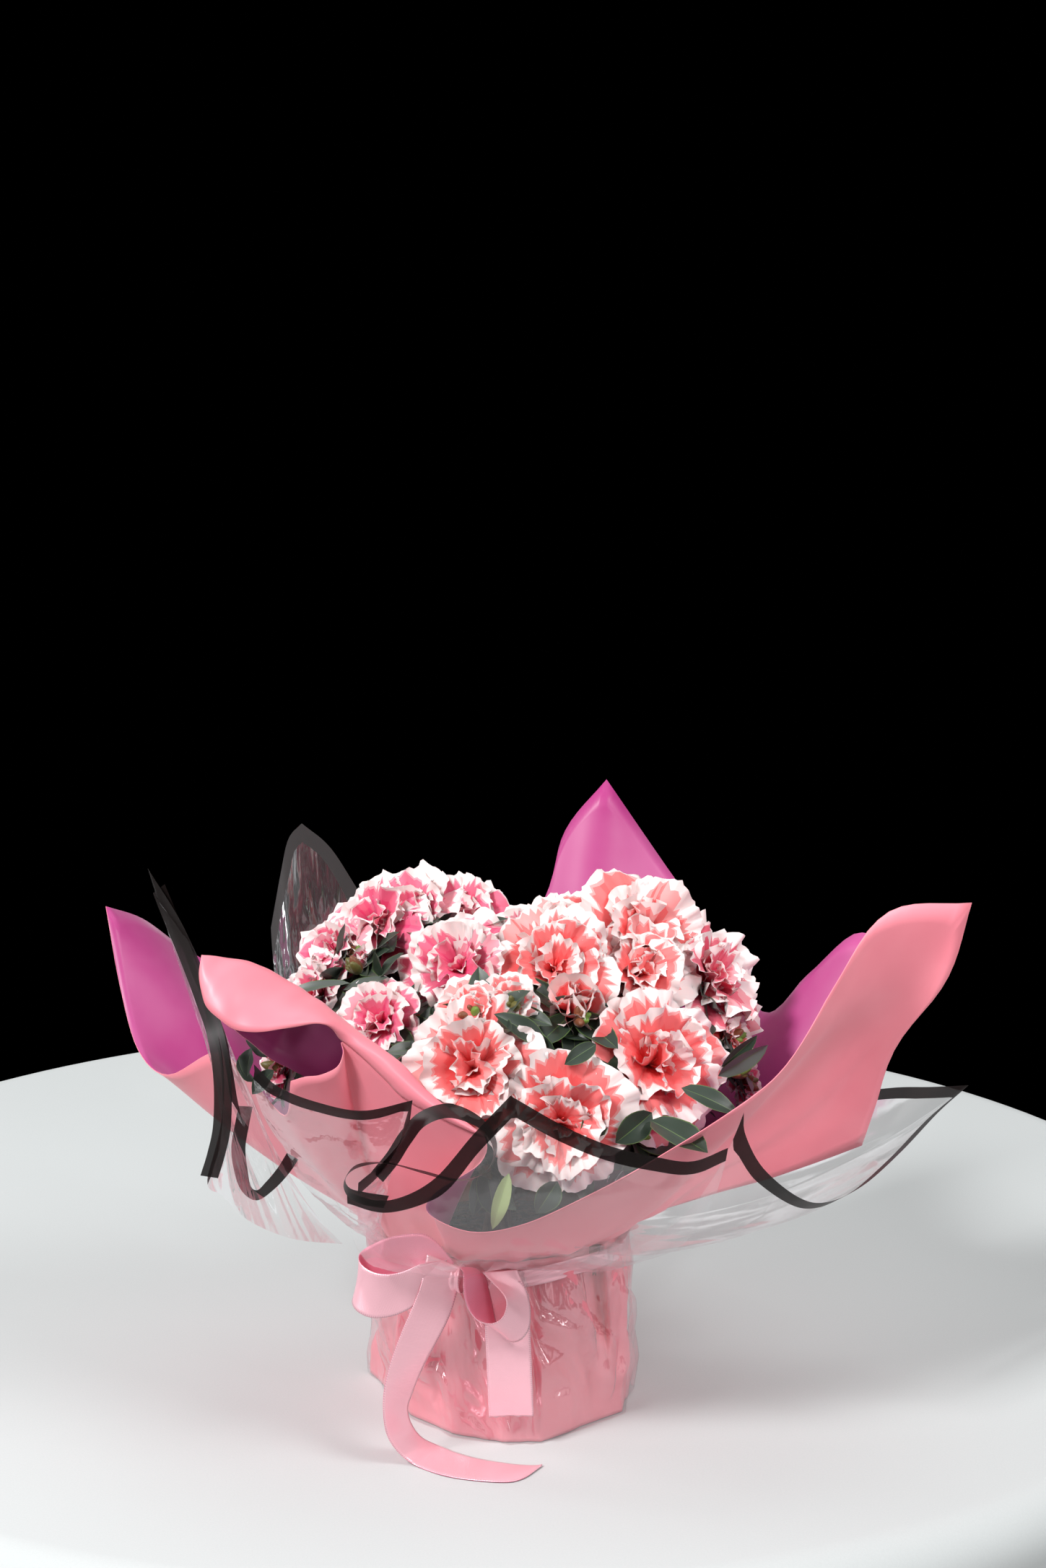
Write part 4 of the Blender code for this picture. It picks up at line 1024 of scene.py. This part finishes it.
def buds_on(heap, place, facing, chance, count):
    """A cluster of pointed bud scales."""
    first, second = around(facing)
    mesh = bmesh.new()
    for k in range(count):
        angle = math.tau * k / count + chance.uniform(-0.3, 0.3)
        lean = 0.0 if k == 0 else chance.uniform(0.35, 0.9)
        along = spoke(facing, spoke(first, second, angle), lean)
        made = bmesh.ops.create_icosphere(mesh, subdivisions=2, radius=1.0)
        size = chance.uniform(2.4, 3.6)
        turn = along.to_track_quat("Z", "X").to_matrix().to_4x4()
        for corner in made["verts"]:
            z = corner.co.z
            slim = 1 - 0.35 * z
            corner.co = Vector((corner.co.x * slim, corner.co.y * slim, z * 1.9 + 1.4)) * size * MM
        bmesh.ops.transform(mesh, matrix=Matrix.Translation(place * MM) @ turn, verts=made["verts"])
        tone = chance.choices((0, 1, 2), (2, 3, 2))[0]
        for face in faces_of(made["verts"]):
            face.material_index = tone
    heap.add(mesh)


# ---------------------------------------------------------------- the wrap
def pleat(degrees, depth):
    """How far the gathers at the neck stand in or out at a direction."""
    a = math.radians(degrees)
    return depth * (math.sin(17 * a + 1.3 * math.sin(3 * a)) * 0.6 + math.sin(31 * a + 2.0) * 0.4)


def paper_rows():
    """Rows of points of the whole flared skirt of paper, from the neck to the free edge."""
    columns, creases = [], []
    for number, stations in enumerate(PAPER_RUNS):
        steps = (len(stations) - 1) * SKIRT_STEPS
        for k in range(steps):
            place = k / steps
            direction, belly, _ = on_spline([(s[0], s[4], 0) for s in stations], place)
            columns.append((direction, on_spline([s[1:4] for s in stations], place), belly))
        if number in CREASED_RUN_ENDS:
            creases.append(len(columns))
    columns.append(columns[0])
    rows = []
    for j in range(SKIRT_ROWS + 1):
        t = j / SKIRT_ROWS
        row = []
        for direction, edge, belly in columns:
            foot = neck_point(direction, NECK_RADIUS + pleat(direction, 1.2), NECK_HEIGHT)
            gather = pleat(direction, 1.6) * (1 - t) ** 3
            out = Vector((foot.x, foot.y, 0)).normalized()
            row.append(meridian(foot, edge, belly, t) + out * gather)
        rows.append(row)
    return rows, creases


def skirt_mesh():
    """The flared skirt as one smooth sheet, closed at its seam and still creased at its sharp corners."""
    rows, creases = paper_rows()
    mesh = bmesh.new()
    corners = grid_on(mesh, rows)
    across = len(rows[0])
    seam = {corners[i + across - 1]: corners[i] for i in range(0, len(corners), across)}
    inner = [v for i, v in enumerate(corners) if 2 < i // across < len(rows) - 1
             and i % across not in creases and i % across < across - 1]
    bmesh.ops.weld_verts(mesh, targetmap=seam)
    for _ in range(SKIRT_PASSES):
        bmesh.ops.smooth_vert(mesh, verts=inner, factor=0.5, use_axis_x=True, use_axis_y=True,
                              use_axis_z=True)
    for place, corner in enumerate(corners):
        if corner.is_valid and place // across > 3:
            corner.co += rolling(corner.co / MM, place // across / (len(rows) - 1)) * MM
    bmesh.ops.reverse_faces(mesh, faces=mesh.faces[:])
    return mesh


# The right sheet's S-shaped roll: where its dark hollow starts and which way that runs, as (x, z),
# the way that the sheet swells out, the size of the roll, and how far right it begins.
ROLL_START, ROLL_AXIS, ROLL_WAY = Vector((141, 197)), Vector((0.745, 0.666)), Vector((0.55, -0.75, -0.35))
ROLL_PERIOD, ROLL_DEPTH, ROLL_FROM_X = 112.0, 9.0, 90


def rolling(point, share):
    """How far the right sheet swells out and falls back along its roll, at a share of the way out."""
    if point.x < ROLL_FROM_X or point.y > 0:
        return Vector((0, 0, 0))
    place = Vector((point.x, point.z)) - ROLL_START
    beyond = max(place.dot(ROLL_AXIS.orthogonal()), -ROLL_PERIOD / 2)
    fade = min((point.x - ROLL_FROM_X) / 40, 1) * min(-point.y / 20, 1) * (1 - 3 * max(share - 0.8, 0))
    fade *= 1 - 0.85 * unit((place.dot(ROLL_AXIS) - 60) / 50)
    return ROLL_WAY * math.sin(2 * math.pi * beyond / ROLL_PERIOD) * ROLL_DEPTH * fade


class AZALEA_OT_paper(bpy.types.Operator):
    """The flared skirt of paper, salmon outside and magenta inside, and its rolled corner"""

    bl_idname = "azalea.paper"
    bl_label = "Paper skirt"

    def execute(self, context):
        looks = context.scene.azalea_wrap
        outside = paper_finish("paper outside", tuple(looks.outside), 0.42)
        inside = paper_finish("paper inside", tuple(looks.inside), 0.46)
        thickness = looks.paper_thickness
        piece_from("paper_skirt", skirt_mesh(), [outside, inside], "paper", "paper_back_corner",
                   "paper_right_corner", "paper_front_lip", "paper_front_left", "paper_left_corner",
                   thickness=thickness)
        hood = bmesh.new()
        grid_on(hood, hood_rows())
        piece_from("paper_roll", hood, [outside, inside], "paper", "paper_rolled_corner",
                   thickness=thickness)
        return {"FINISHED"}


# Across the hood: the share from its front (0) over its top (1) to its inner edge (2), how far it
# bulges out and how far it sinks back there, as shares of its width.
HOOD_SECTION = [
    (0.0, 0.0, 0), (0.1, 0.07, 0), (0.22, 0.13, 0), (0.35, 0.17, 0), (0.5, 0.18, 0), (0.65, 0.16, 0),
    (0.8, 0.10, 0), (0.92, 0.05, 0), (1.0, 0.0, 0), (1.06, -0.02, 0.10), (1.15, 0, 0.20), (1.3, 0, 0.30),
    (1.5, 0, 0.34), (1.7, 0, 0.26), (1.85, 0, 0.14), (2.0, 0, 0)]
HOOD_OUT, HOOD_BACK, HOOD_ROOM = Vector((-0.25, -0.75, 0.6)), Vector((0.1, 1, 0)), 34


def hood_rows():
    """Rows of points of the rolled corner, each running from its open end to where it dies away."""
    rows = []
    for share, bulge, sink in HOOD_SECTION:
        row = []
        for i in range(HOOD_COLUMNS + 1):
            place = i / HOOD_COLUMNS
            front, top, back = (on_spline(curve, place) for curve in (HOOD_FRONT, HOOD_TOP, HOOD_INSIDE))
            point = front.lerp(top, share) if share <= 1 else top.lerp(back, share - 1)
            room = min((front - top).length, HOOD_ROOM)
            clear_of_skirt = Vector((0, -1.4, 0.3)) if share < 1.8 else Vector((0, 3.5, -0.5))
            point += clear_of_skirt * unit((place - 0.45) * 5) * (0.5 if share < 0.02 else 1)
            row.append(point + HOOD_OUT * bulge * room + HOOD_BACK * sink * room)
        rows.append(row)
    return rows


def film_rows(patch, border):
    """Rows of points of one film patch. The last two rows are the printed border, square to the edge."""
    columns = []
    runs = patch["runs"]
    lengths = [smoothed(run)[1][-1] for run in runs]
    travelled = 0.0
    for run, length in zip(runs, lengths):
        count = max(int(length / FILM_STEP), 6)
        points = even_points(run, count)
        for k, point in enumerate(points):
            if k == 0 and columns:
                continue
            place = (travelled + length * k / count) / sum(lengths)
            before, after = points[max(k - 1, 0)], points[min(k + 1, count)]
            columns.append((place, point, (after - before).normalized()))
        travelled += length
    made = [[] for _ in range(FILM_ROWS + 3)]
    for place, edge, tangent in columns:
        if "foot" in patch:
            foot = on_spline(patch["foot"], place)
        else:
            start, end = patch["neck"]
            degrees = start + (end - start) * place
            foot = neck_point(degrees, FILM_NECK_RADIUS + pleat(degrees, 0.8), FILM_NECK_HEIGHT)
        belly = patch["belly"]
        slope = (edge - meridian(foot, edge, belly, 0.97)).normalized()
        sine = max(slope.cross(tangent).length, 0.45)
        line = [meridian(foot, edge, belly, i / 20) for i in range(21)]
        total = sum((after - before).length for before, after in zip(line, line[1:]))
        inner = 1 - min(border / sine / total, 0.5) * 0.93
        shares = [inner * i / FILM_ROWS for i in range(FILM_ROWS + 1)] + [(1 + inner) / 2, 1]
        for row, share in zip(made, shares):
            row.append(meridian(foot, edge, belly, share))
    return made


# A number of cells that no sheet reaches, for facets that don't have to meet at a seam.
NO_SEAM = 100000


def facets(across, along, seed, wrap=NO_SEAM):
    """A height on a sheet that is folded into flat triangles. Places are counted in cells."""
    across += along / 2
    i, j = math.floor(across), math.floor(along)
    s, t = across - i, along - j

    def peak(p, q):
        return noise.cell(Vector(((i + p) % wrap + 0.5, j + q + 0.5, seed + 0.5)))

    if s + t < 1:
        return peak(0, 0) * (1 - s - t) + peak(1, 0) * s + peak(0, 1) * t
    return peak(1, 1) * (s + t - 1) + peak(0, 1) * (1 - s) + peak(1, 0) * (1 - t)


def crumple(across, along, cell, stretch, seed):
    """Two sizes of facet over a sheet, on cells bent out of line. Places and cells in millimetres."""
    height = 0.0
    for size, share in ((cell, 0.7), (cell * 0.42, 0.3)):
        bend = noise.noise(Vector((across / 60, along / 60, seed))) * 1.1
        lean = noise.noise(Vector((across / 60, along / 60, seed + 9))) * 0.8
        height += share * facets(across / size + bend, along / size / stretch + lean, seed + size)
    return height


class AZALEA_OT_film(bpy.types.Operator):
    """Clear film corners with a printed dark border, and loose curls of that border"""

    bl_idname = "azalea.film"
    bl_label = "Film corners"

    def execute(self, context):
        looks = context.scene.azalea_wrap
        clear = film_finish("clear film", 0.12, 0.16, 38, 0.02)
        sheets = {"film_left": film_finish("glassy film", 0.03, 0.45, 50),
                  "film_front_left": film_finish("creased film", 0.10, 0.7, 44, 0.13, 0.014),
                  "film_back_left": film_finish("fanned film", 0.06, 0.7, 70, 0.26, 0.008, (1, 1, 0.1))}
        border = border_finish("film border", tuple(looks.border))
        # The same black border, painted lighter as a painted reflection, for the back-left patch where light
        # glances off it.
        border_with_painted_reflection = border_finish("film border with painted reflection", lighter(tuple(looks.border), 0.055))
        for name, patch in FILM_PATCHES.items():
            rows = film_rows(patch, looks.border_width / MM)
            mesh = bmesh.new()
            corners = grid_on(mesh, rows)
            across = len(rows[0])
            for number, face in enumerate(faces_of(corners)):
                face.material_index = 1 if number // (across - 1) >= len(rows) - 3 else 0
            mesh.normal_update()
            for i, corner in enumerate(corners):
                share = (i // across) / (len(rows) - 1)
                depth = patch["creases"] * math.sin(math.pi * min(share * 1.04, 1.0)) ** 0.7
                push = crumple((i % across) * FILM_STEP, share * 110, patch["cell"], patch["stretch"],
                               len(name))
                corner.co += corner.normal * push * depth * MM
            # The back-left patch takes the border with the painted reflection.
            edge = border_with_painted_reflection if name == "film_back_left" else border
            piece_from(name + "_sheet", mesh, [sheets.get(name, clear), edge], "film", name)
        for name, curl in BORDER_CURLS.items():
            mesh = bmesh.new()
            strip_on(mesh, curl["route"], curl["sideways"], curl["width"], CURL_STEPS, 4)
            piece_from(name, mesh, [border], "film")
        collar(clear)
        return {"FINISHED"}


def collar(clear):
    """The film's gathers just above the ribbon, all the way round."""
    rows = []
    for j in range(COLLAR_ROWS + 1):
        t = j / COLLAR_ROWS
        row = []
        for k in range(COLLAR_COLUMNS + 1):
            degrees = 360 / COLLAR_COLUMNS * k
            lift = 12 + 5 * math.sin(math.radians(degrees) * 3)
            lift += 3 * noise.noise(Vector((degrees / 14, 0, 0)))
            radius = FILM_NECK_RADIUS + 0.4 + pleat(degrees, 1.0) + (9 + pleat(degrees * 1.5, 3)) * t * t
            row.append(neck_point(degrees, radius, FILM_NECK_HEIGHT - 1 + lift * t))
        rows.append(row)
    mesh = bmesh.new()
    closed_on(mesh, rows)
    piece_from("film_collar", mesh, [clear], "film")


def sleeve_point(degrees, t, offset):
    """A point of the sleeve: creased corners on the ground, gathers at the neck."""
    place = (degrees % 360) / 360 * len(SLEEVE_CORNERS)
    corner = int(place) % len(SLEEVE_CORNERS)
    a = Vector(SLEEVE_CORNERS[corner])
    b = Vector(SLEEVE_CORNERS[(corner + 1) % len(SLEEVE_CORNERS)])
    foot = a.lerp(b, place - int(place))
    out = foot.normalized()
    foot += out * offset
    flat = foot.lerp(out * (NECK_RADIUS + offset), t * t * (3 - 2 * t))
    return Vector((flat.x, flat.y, 0)), out


# How high above the ground the sleeves end, in millimetres.
SLEEVE_FOOT = 0.6
SLEEVE_FOLDS = [
    # direction at the foot and at the neck, half width (degrees), depth (mm), lowest and highest share
    (-28, -60, 4.0, -4.0, 0.12, 0.95), (-34, -48, 3.0, 4.0, 0.3, 1.0), (-14, -24, 3.0, -3.0, 0.1, 1.0),
    (-143, -143, 3.5, 8.0, 0.2, 0.85), (-128, -112, 4.0, 4.0, 0.1, 0.9), (-70, -74, 3.0, 3.0, 0.4, 1.0),
    (-92, -86, 3.0, -3.0, 0.1, 0.8), (50, 60, 5.0, 6.0, 0.2, 1.0), (120, 134, 5.0, 7.0, 0.1, 1.0),
    (160, 172, 4.0, 6.0, 0.2, 1.0), (8, 22, 5.0, 5.0, 0.1, 1.0), (90, 84, 4.0, -4.0, 0.1, 1.0)]


def folded(direction, t):
    """How deep the sleeve's big folds run in at a direction and height."""
    depth = 0.0
    for foot, neck, half, deep, low, high in SLEEVE_FOLDS:
        away = (direction - foot - (neck - foot) * t + 180) % 360 - 180
        sharp = half * (0.6 if away < 0 else 1.4)
        fade = unit((t - low) / 0.2) * unit((high - t) / 0.1)
        depth += deep * math.exp(-(away / sharp) ** 2) * fade
    return depth


def tucked(x, y, t):
    """How far the deep tuck at the front right runs back at a place."""
    if y > 0:
        return 0.0
    centre = 54.5 + 4.5 * min((1 - t) / 0.55, 1.0)
    fade = unit((t - 0.26) / 0.3)
    away = x - centre
    return 17.0 * fade * math.exp(-(away / (3.4 if away < 0 else 4.0)) ** 4)


def sleeve_radius(point, out, turn, t, offset, coarse, crease):
    """How far the sleeve stands out at a place, in gathers, folds and crinkles."""
    direction = math.degrees(math.atan2(out.y, out.x))
    angle = math.tau * turn
    bend = noise.noise(Vector((2 * math.cos(angle), 2 * math.sin(angle), 2 * t + offset)))
    height = 0.0
    for cells, tall, share in ((coarse, 2.4, 0.66), (coarse * 2 + 3, 5.2, 0.34)):
        height += share * facets(turn * cells + bend * 1.5, t * tall + bend * 0.6, cells + offset, cells)
    push = pleat(direction, 1.5) * t ** 1.5 - folded(direction, t)
    push += crease * height * min(1.0, 0.3 + 3 * t) * min(1.0, 0.25 + 3 * (1 - t))
    return max(point.length + push, 52 + 15 * t + offset)


def sleeve(name, offset, top, materials, slot, thickness):
    """One tube round the pot, open above and below. The film's stays outside the paper's."""
    rows = []
    for j in range(SLEEVE_ROWS + 1):
        t = j / SLEEVE_ROWS
        row = []
        for k in range(SLEEVE_COLUMNS + 1):
            turn = (k % SLEEVE_COLUMNS) / SLEEVE_COLUMNS
            point, out = sleeve_point(turn * 360, t, 0)
            radius = sleeve_radius(point, out, turn, t, 0, 17, 8.0)
            if offset:
                point, _ = sleeve_point(turn * 360, t, offset)
                radius = max(sleeve_radius(point, out, turn, t, offset, 29, 9.0), radius + 0.7)
            x, y = out.x * radius, out.y * radius
            back = 0 if offset else tucked(x, y, t)
            row.append((x, y + back, SLEEVE_FOOT + (top - SLEEVE_FOOT) * t))
        rows.append(row)
    mesh = bmesh.new()
    closed_on(mesh, rows)
    piece_from(name + "_sheet", mesh, materials, slot, name, thickness=thickness)


class AZALEA_OT_sleeves(bpy.types.Operator):
    """The pleated paper and crinkled film round the pot"""

    bl_idname = "azalea.sleeves"
    bl_label = "Sleeves"

    def execute(self, context):
        looks = context.scene.azalea_wrap
        outside = paper_finish("sleeve outside", tuple(looks.outside), 0.42)
        inside = paper_finish("sleeve inside", tuple(looks.inside), 0.36)
        sleeve("paper_sleeve", 0.0, NECK_HEIGHT, [outside, inside], "paper", looks.paper_thickness)
        clear = film_finish("crinkled film", 0.05, 0.6, 70, 0.12, 0.006, (1, 1, 0.3))
        sleeve("film_sleeve", 2.6, FILM_NECK_HEIGHT, [clear], "film", 0)
        return {"FINISHED"}


# ---------------------------------------------------------------- the bow
def strip_on(mesh, route, sideways, width, steps, across, cup=0.0, shape=None):
    """Adds a strip along a route, its width pointing along sideways."""
    centres = even_points(route, steps)
    left, right = [], []
    for i, centre in enumerate(centres):
        side = on_spline(sideways, i / steps).normalized() * width / 2 * (shape(i / steps) if shape else 1)
        left.append(centre - side)
        right.append(centre + side)
    return band_on(mesh, left, right, across, cup)


def band_on(mesh, left, right, across, cup):
    """Adds a strip between two edges, with a UV map in metres: along it, and out from its middle."""
    rows, lengths = [], [0.0]
    last = len(left) - 1
    for i in range(last + 1):
        middle = left[i].lerp(right[i], 0.5)
        before, after = max(i - 1, 0), min(i + 1, last)
        ahead = left[after].lerp(right[after], 0.5) - left[before].lerp(right[before], 0.5)
        over = (right[i] - left[i]).cross(ahead).normalized()
        if i:
            lengths.append(lengths[-1] + (middle - left[i - 1].lerp(right[i - 1], 0.5)).length)
        rows.append([left[i].lerp(right[i], k / across) + over * cup * (1 - (2 * k / across - 1) ** 2)
                     for k in range(across + 1)])
    corners = grid_on(mesh, rows)
    uv = mesh.loops.layers.uv.new("along")
    places = {}
    for number, corner in enumerate(corners):
        u = 2 * (number % (across + 1)) / across - 1
        places[corner] = (lengths[number // (across + 1)] * MM, u * HALF_RIBBON)
    for face in faces_of(corners):
        for loop in face.loops:
            loop[uv].uv = places[loop.vert]
    return corners


def loop_shape(share):
    """A loop narrows where it is pinched into the knot."""
    return 1 - 0.5 * (1 - min(share, 1 - share, 0.16) / 0.16)


def tail_shape(share):
    """A tail narrows towards the knot."""
    return 1.0 - 0.35 * max(0.0, 0.1 - share) / 0.1


class AZALEA_OT_bow(bpy.types.Operator):
    """The satin bow: band, knot, two loops and two tails"""

    bl_idname = "azalea.bow"
    bl_label = "Satin bow"

    def execute(self, context):
        looks = context.scene.azalea_ribbon
        satin = satin_finish("satin ribbon", tuple(looks.colour), 0.27)
        # The back finish is rougher, as satin's back is. Its darker colour is painted shade on the ribbon's
        # inner side.
        back = satin_finish("ribbon back with painted shade", tuple(looks.back), 0.42)
        width = looks.width / MM
        for name, ribbon in RIBBONS.items():
            mesh = bmesh.new()
            shape = tail_shape if "tail" in name else loop_shape
            corners = strip_on(mesh, ribbon["route"], ribbon["sideways"], width, LOOP_STEPS,
                               RIBBON_COLUMNS, 0.9, shape)
            if "tail" in name:
                for i, corner in enumerate(corners[-RIBBON_COLUMNS - 1:]):
                    corner.co.z += 1.4 * MM * noise.noise(Vector((i * 0.7, 3, 0)))
            piece_from(name + "_satin", mesh, [back, satin], "satin", name, thickness=SATIN_THICKNESS)
        for name, edges, sides in (("ribbon_tail_long", LONG_TAIL_EDGES, [back, satin]),
                                   ("ribbon_loop_right", RIGHT_LOOP_EDGES, [satin, back])):
            mesh = bmesh.new()
            left, right = ([on_spline(edge, i / CURL_STEPS) for i in range(CURL_STEPS + 1)]
                           for edge in edges)
            band_on(mesh, left, right, RIBBON_COLUMNS, -0.7)
            piece_from(name + "_satin", mesh, sides, "satin", name, thickness=SATIN_THICKNESS)
        self.band(satin)
        self.knot(satin)
        return {"FINISHED"}

    def band(self, satin):
        """The ribbon gathered round the neck."""
        mesh = bmesh.new()
        route = [neck_point(-110 + 10 * k, BAND_RADIUS, BAND_HEIGHT) for k in range(37)]
        corners = strip_on(mesh, route, [(0, 0, 1)] * 2, BAND_WIDTH, BAND_STEPS, BAND_COLUMNS)
        for i, corner in enumerate(corners):
            out = Vector((corner.co.x, corner.co.y, 0)).normalized()
            across = i % (BAND_COLUMNS + 1)
            angle = math.atan2(corner.co.y, corner.co.x)
            corner.co += out * (0.7 * math.sin(across * 2.4 + 2 * math.sin(3 * angle))
                                + 0.5 * noise.noise(corner.co * 90)) * MM
            corner.co.z += 1.5 * MM * math.sin(5 * angle)
        piece_from("ribbon_band_satin", mesh, [satin], "satin", "ribbon_band", thickness=0.0003)

    def knot(self, satin):
        """A short wrap of ribbon drawn in tight, with folds along it."""
        mesh = bmesh.new()
        route = []
        for k in range(17):
            a = math.tau * k / 16 + math.pi / 2
            route.append(KNOT_PLACE + Vector((1.92 * math.cos(a), 7.0 * math.cos(a), 7.5 * math.sin(a))))
        corners = strip_on(mesh, route, [(1, -0.27, 0)] * 2, KNOT_WIDTH, KNOT_STEPS, KNOT_COLUMNS)
        for i, corner in enumerate(corners):
            away = corner.co / MM - KNOT_PLACE
            fold = math.sin(i % (KNOT_COLUMNS + 1) * 1.35) * 0.55
            corner.co += Vector((0, away.y, away.z)).normalized() * fold * MM
        piece_from("ribbon_knot_satin", mesh, [satin], "satin", "ribbon_knot", thickness=0.0004)


# ---------------------------------------------------------------- stage
CAMERA_PLACE = (0.01448, -1.769, 0.751)
FLOOR_PLACE, FLOOR_DEPTH = (-0.03, 0.25, -0.4), 0.8

# Soft boxes, all turned to one place above the pot: name, place, width, height and power.
SOFT_BOXES = [
    ("key", (-1.9, -2.1, 2.8), 0.7, 0.7, 125), ("fill", (2.0, -1.6, 2.7), 1.2, 1.2, 52),
    ("top", (0.2, 0.9, 3.1), 2.0, 2.0, 18), ("left", (-2.3, 0.5, 1.2), 0.8, 0.8, 12),
    ("left strip", (-1.8, -1.3, 0.5), 0.25, 0.9, 5), ("right strip", (1.7, -1.5, 0.5), 0.2, 0.9, 3)]
SOFT_BOX_AIM = (0, 0, 0.2)
ACCENT_PLACE, ACCENT_AIM = (1.0, -1.8, 1.3), (0.255, -0.05, 0.265)


def lamp(name, kind, place, aim, settings):
    """A lamp at one place, turned to another. Places are in metres."""
    data = bpy.data.lights.new(name, kind)
    for setting, value in settings.items():
        setattr(data, setting, value)
    made = bpy.data.objects.new(name, data)
    made.location = place
    made.rotation_euler = (Vector(aim) - Vector(place)).to_track_quat("-Z", "Y").to_euler()
    bpy.context.scene.collection.objects.link(made)


def table(radius):
    """The round table top with its rounded rim, in plain pale cloth."""
    mesh = bmesh.new()
    bmesh.ops.create_cone(mesh, cap_ends=True, segments=160, radius1=radius, radius2=radius,
                          depth=FLOOR_DEPTH)
    bmesh.ops.translate(mesh, verts=mesh.verts, vec=FLOOR_PLACE)
    rim = [edge for edge in mesh.edges if all(corner.co.z > -0.001 for corner in edge.verts)]
    bmesh.ops.bevel(mesh, geom=rim, offset=0.03, offset_type="OFFSET", affect="EDGES", segments=8,
                    profile=0.5, material=-1)
    data = bpy.data.meshes.new("floor")
    mesh.to_mesh(data)
    mesh.free()
    data.polygons.foreach_set("use_smooth", [True] * len(data.polygons))
    floor = bpy.data.objects.new("floor", data)
    bpy.context.scene.collection.objects.link(floor)
    cloth = Finish("pale cloth")
    shade = cloth.mix(cloth.noise(900, 2), srgb(200, 204, 204), srgb(208, 212, 212))
    data.materials.append(cloth.surface(Base_Color=shade, Roughness=0.9))


def surroundings():
    """Black to the camera, with a little even light, and pale panels for glossy faces to mirror."""
    world = bpy.data.worlds.new("studio")
    world.use_nodes = True
    studio = Shading(world.node_tree)
    seen = studio.node("LightPath").outputs
    panels = studio.node("TexNoise", None, {"Scale": 7.0, "Detail": 0}).outputs[0]
    bright = studio.node("MapRange", {"interpolation_type": "SMOOTHSTEP"}, {
        "Value": panels, "From Min": 0.50, "From Max": 0.60, "To Min": 0.14, "To Max": 0.85})
    even = Number(studio, seen["Is Diffuse Ray"]) * 0.23
    strength = Number(studio, seen["Is Glossy Ray"]) * bright.outputs[0] + even
    background = world.node_tree.nodes["Background"]
    background.inputs["Color"].default_value = (1, 1, 1, 1)
    world.node_tree.links.new(strength.socket, background.inputs["Strength"])
    return world


class AZALEA_OT_stage(bpy.types.Operator):
    """Pale table, soft light and the camera"""

    bl_idname = "azalea.stage"
    bl_label = "Stage"

    def execute(self, context):
        looks = context.scene.azalea_stage
        table(looks.floor_radius)
        camera_data = bpy.data.cameras.new("camera")
        camera_data.lens = looks.lens
        camera = bpy.data.objects.new("camera", camera_data)
        camera.location = CAMERA_PLACE
        camera.rotation_euler = (math.pi / 2 - looks.pitch, 0, 0)
        context.scene.collection.objects.link(camera)
        context.scene.camera = camera
        context.scene.world = surroundings()
        context.scene.view_settings.view_transform = "Standard"
        for name, place, width, height, power in SOFT_BOXES:
            lamp(name, "AREA", place, SOFT_BOX_AIM, {
                "shape": "RECTANGLE", "size": width, "size_y": height, "energy": power})
        lamp("accent", "SPOT", ACCENT_PLACE, ACCENT_AIM, {
            "energy": 62, "spot_size": math.radians(13), "spot_blend": 1, "shadow_soft_size": 0.05})
        return {"FINISHED"}


class AZALEA_PT_panel(bpy.types.Panel):
    """Lists the azalea's pieces in the sidebar"""

    bl_idname = "AZALEA_PT_panel"
    bl_label = "Gift-wrapped azalea"
    bl_space_type = "VIEW_3D"
    bl_region_type = "UI"
    bl_category = "Azalea"

    def draw(self, context):
        layout = self.layout
        for group, operators in PANEL_GROUPS:
            box = layout.box()
            settings = getattr(context.scene, group)
            for name in settings.__annotations__:
                box.prop(settings, name)
            for operator in operators:
                box.operator(operator.bl_idname)


PANEL_GROUPS = [
    ("azalea_plant", [AZALEA_OT_pot, AZALEA_OT_bark, AZALEA_OT_blooms, AZALEA_OT_foliage]),
    ("azalea_wrap", [AZALEA_OT_sleeves, AZALEA_OT_paper, AZALEA_OT_film]),
    ("azalea_ribbon", [AZALEA_OT_bow]),
    ("azalea_stage", [AZALEA_OT_stage]),
]
SETTINGS = {"azalea_plant": AzaleaPlantSettings, "azalea_wrap": AzaleaWrapSettings,
            "azalea_ribbon": AzaleaRibbonSettings, "azalea_stage": AzaleaStageSettings}


def register():
    for name, settings in SETTINGS.items():
        bpy.utils.register_class(settings)
        setattr(bpy.types.Scene, name, PointerProperty(type=settings))
    for _, operators in PANEL_GROUPS:
        for operator in operators:
            bpy.utils.register_class(operator)
    bpy.utils.register_class(AZALEA_PT_panel)


def unregister():
    bpy.utils.unregister_class(AZALEA_PT_panel)
    for _, operators in reversed(PANEL_GROUPS):
        for operator in reversed(operators):
            bpy.utils.unregister_class(operator)
    for name, settings in reversed(SETTINGS.items()):
        delattr(bpy.types.Scene, name)
        bpy.utils.unregister_class(settings)


def main():
    register()
    bpy.ops.azalea.stage()
    bpy.ops.azalea.pot()
    bpy.ops.azalea.bark()
    bpy.ops.azalea.blooms()
    bpy.ops.azalea.foliage()
    bpy.ops.azalea.sleeves()
    bpy.ops.azalea.paper()
    bpy.ops.azalea.film()
    bpy.ops.azalea.bow()


if __name__ == "__main__":
    main()
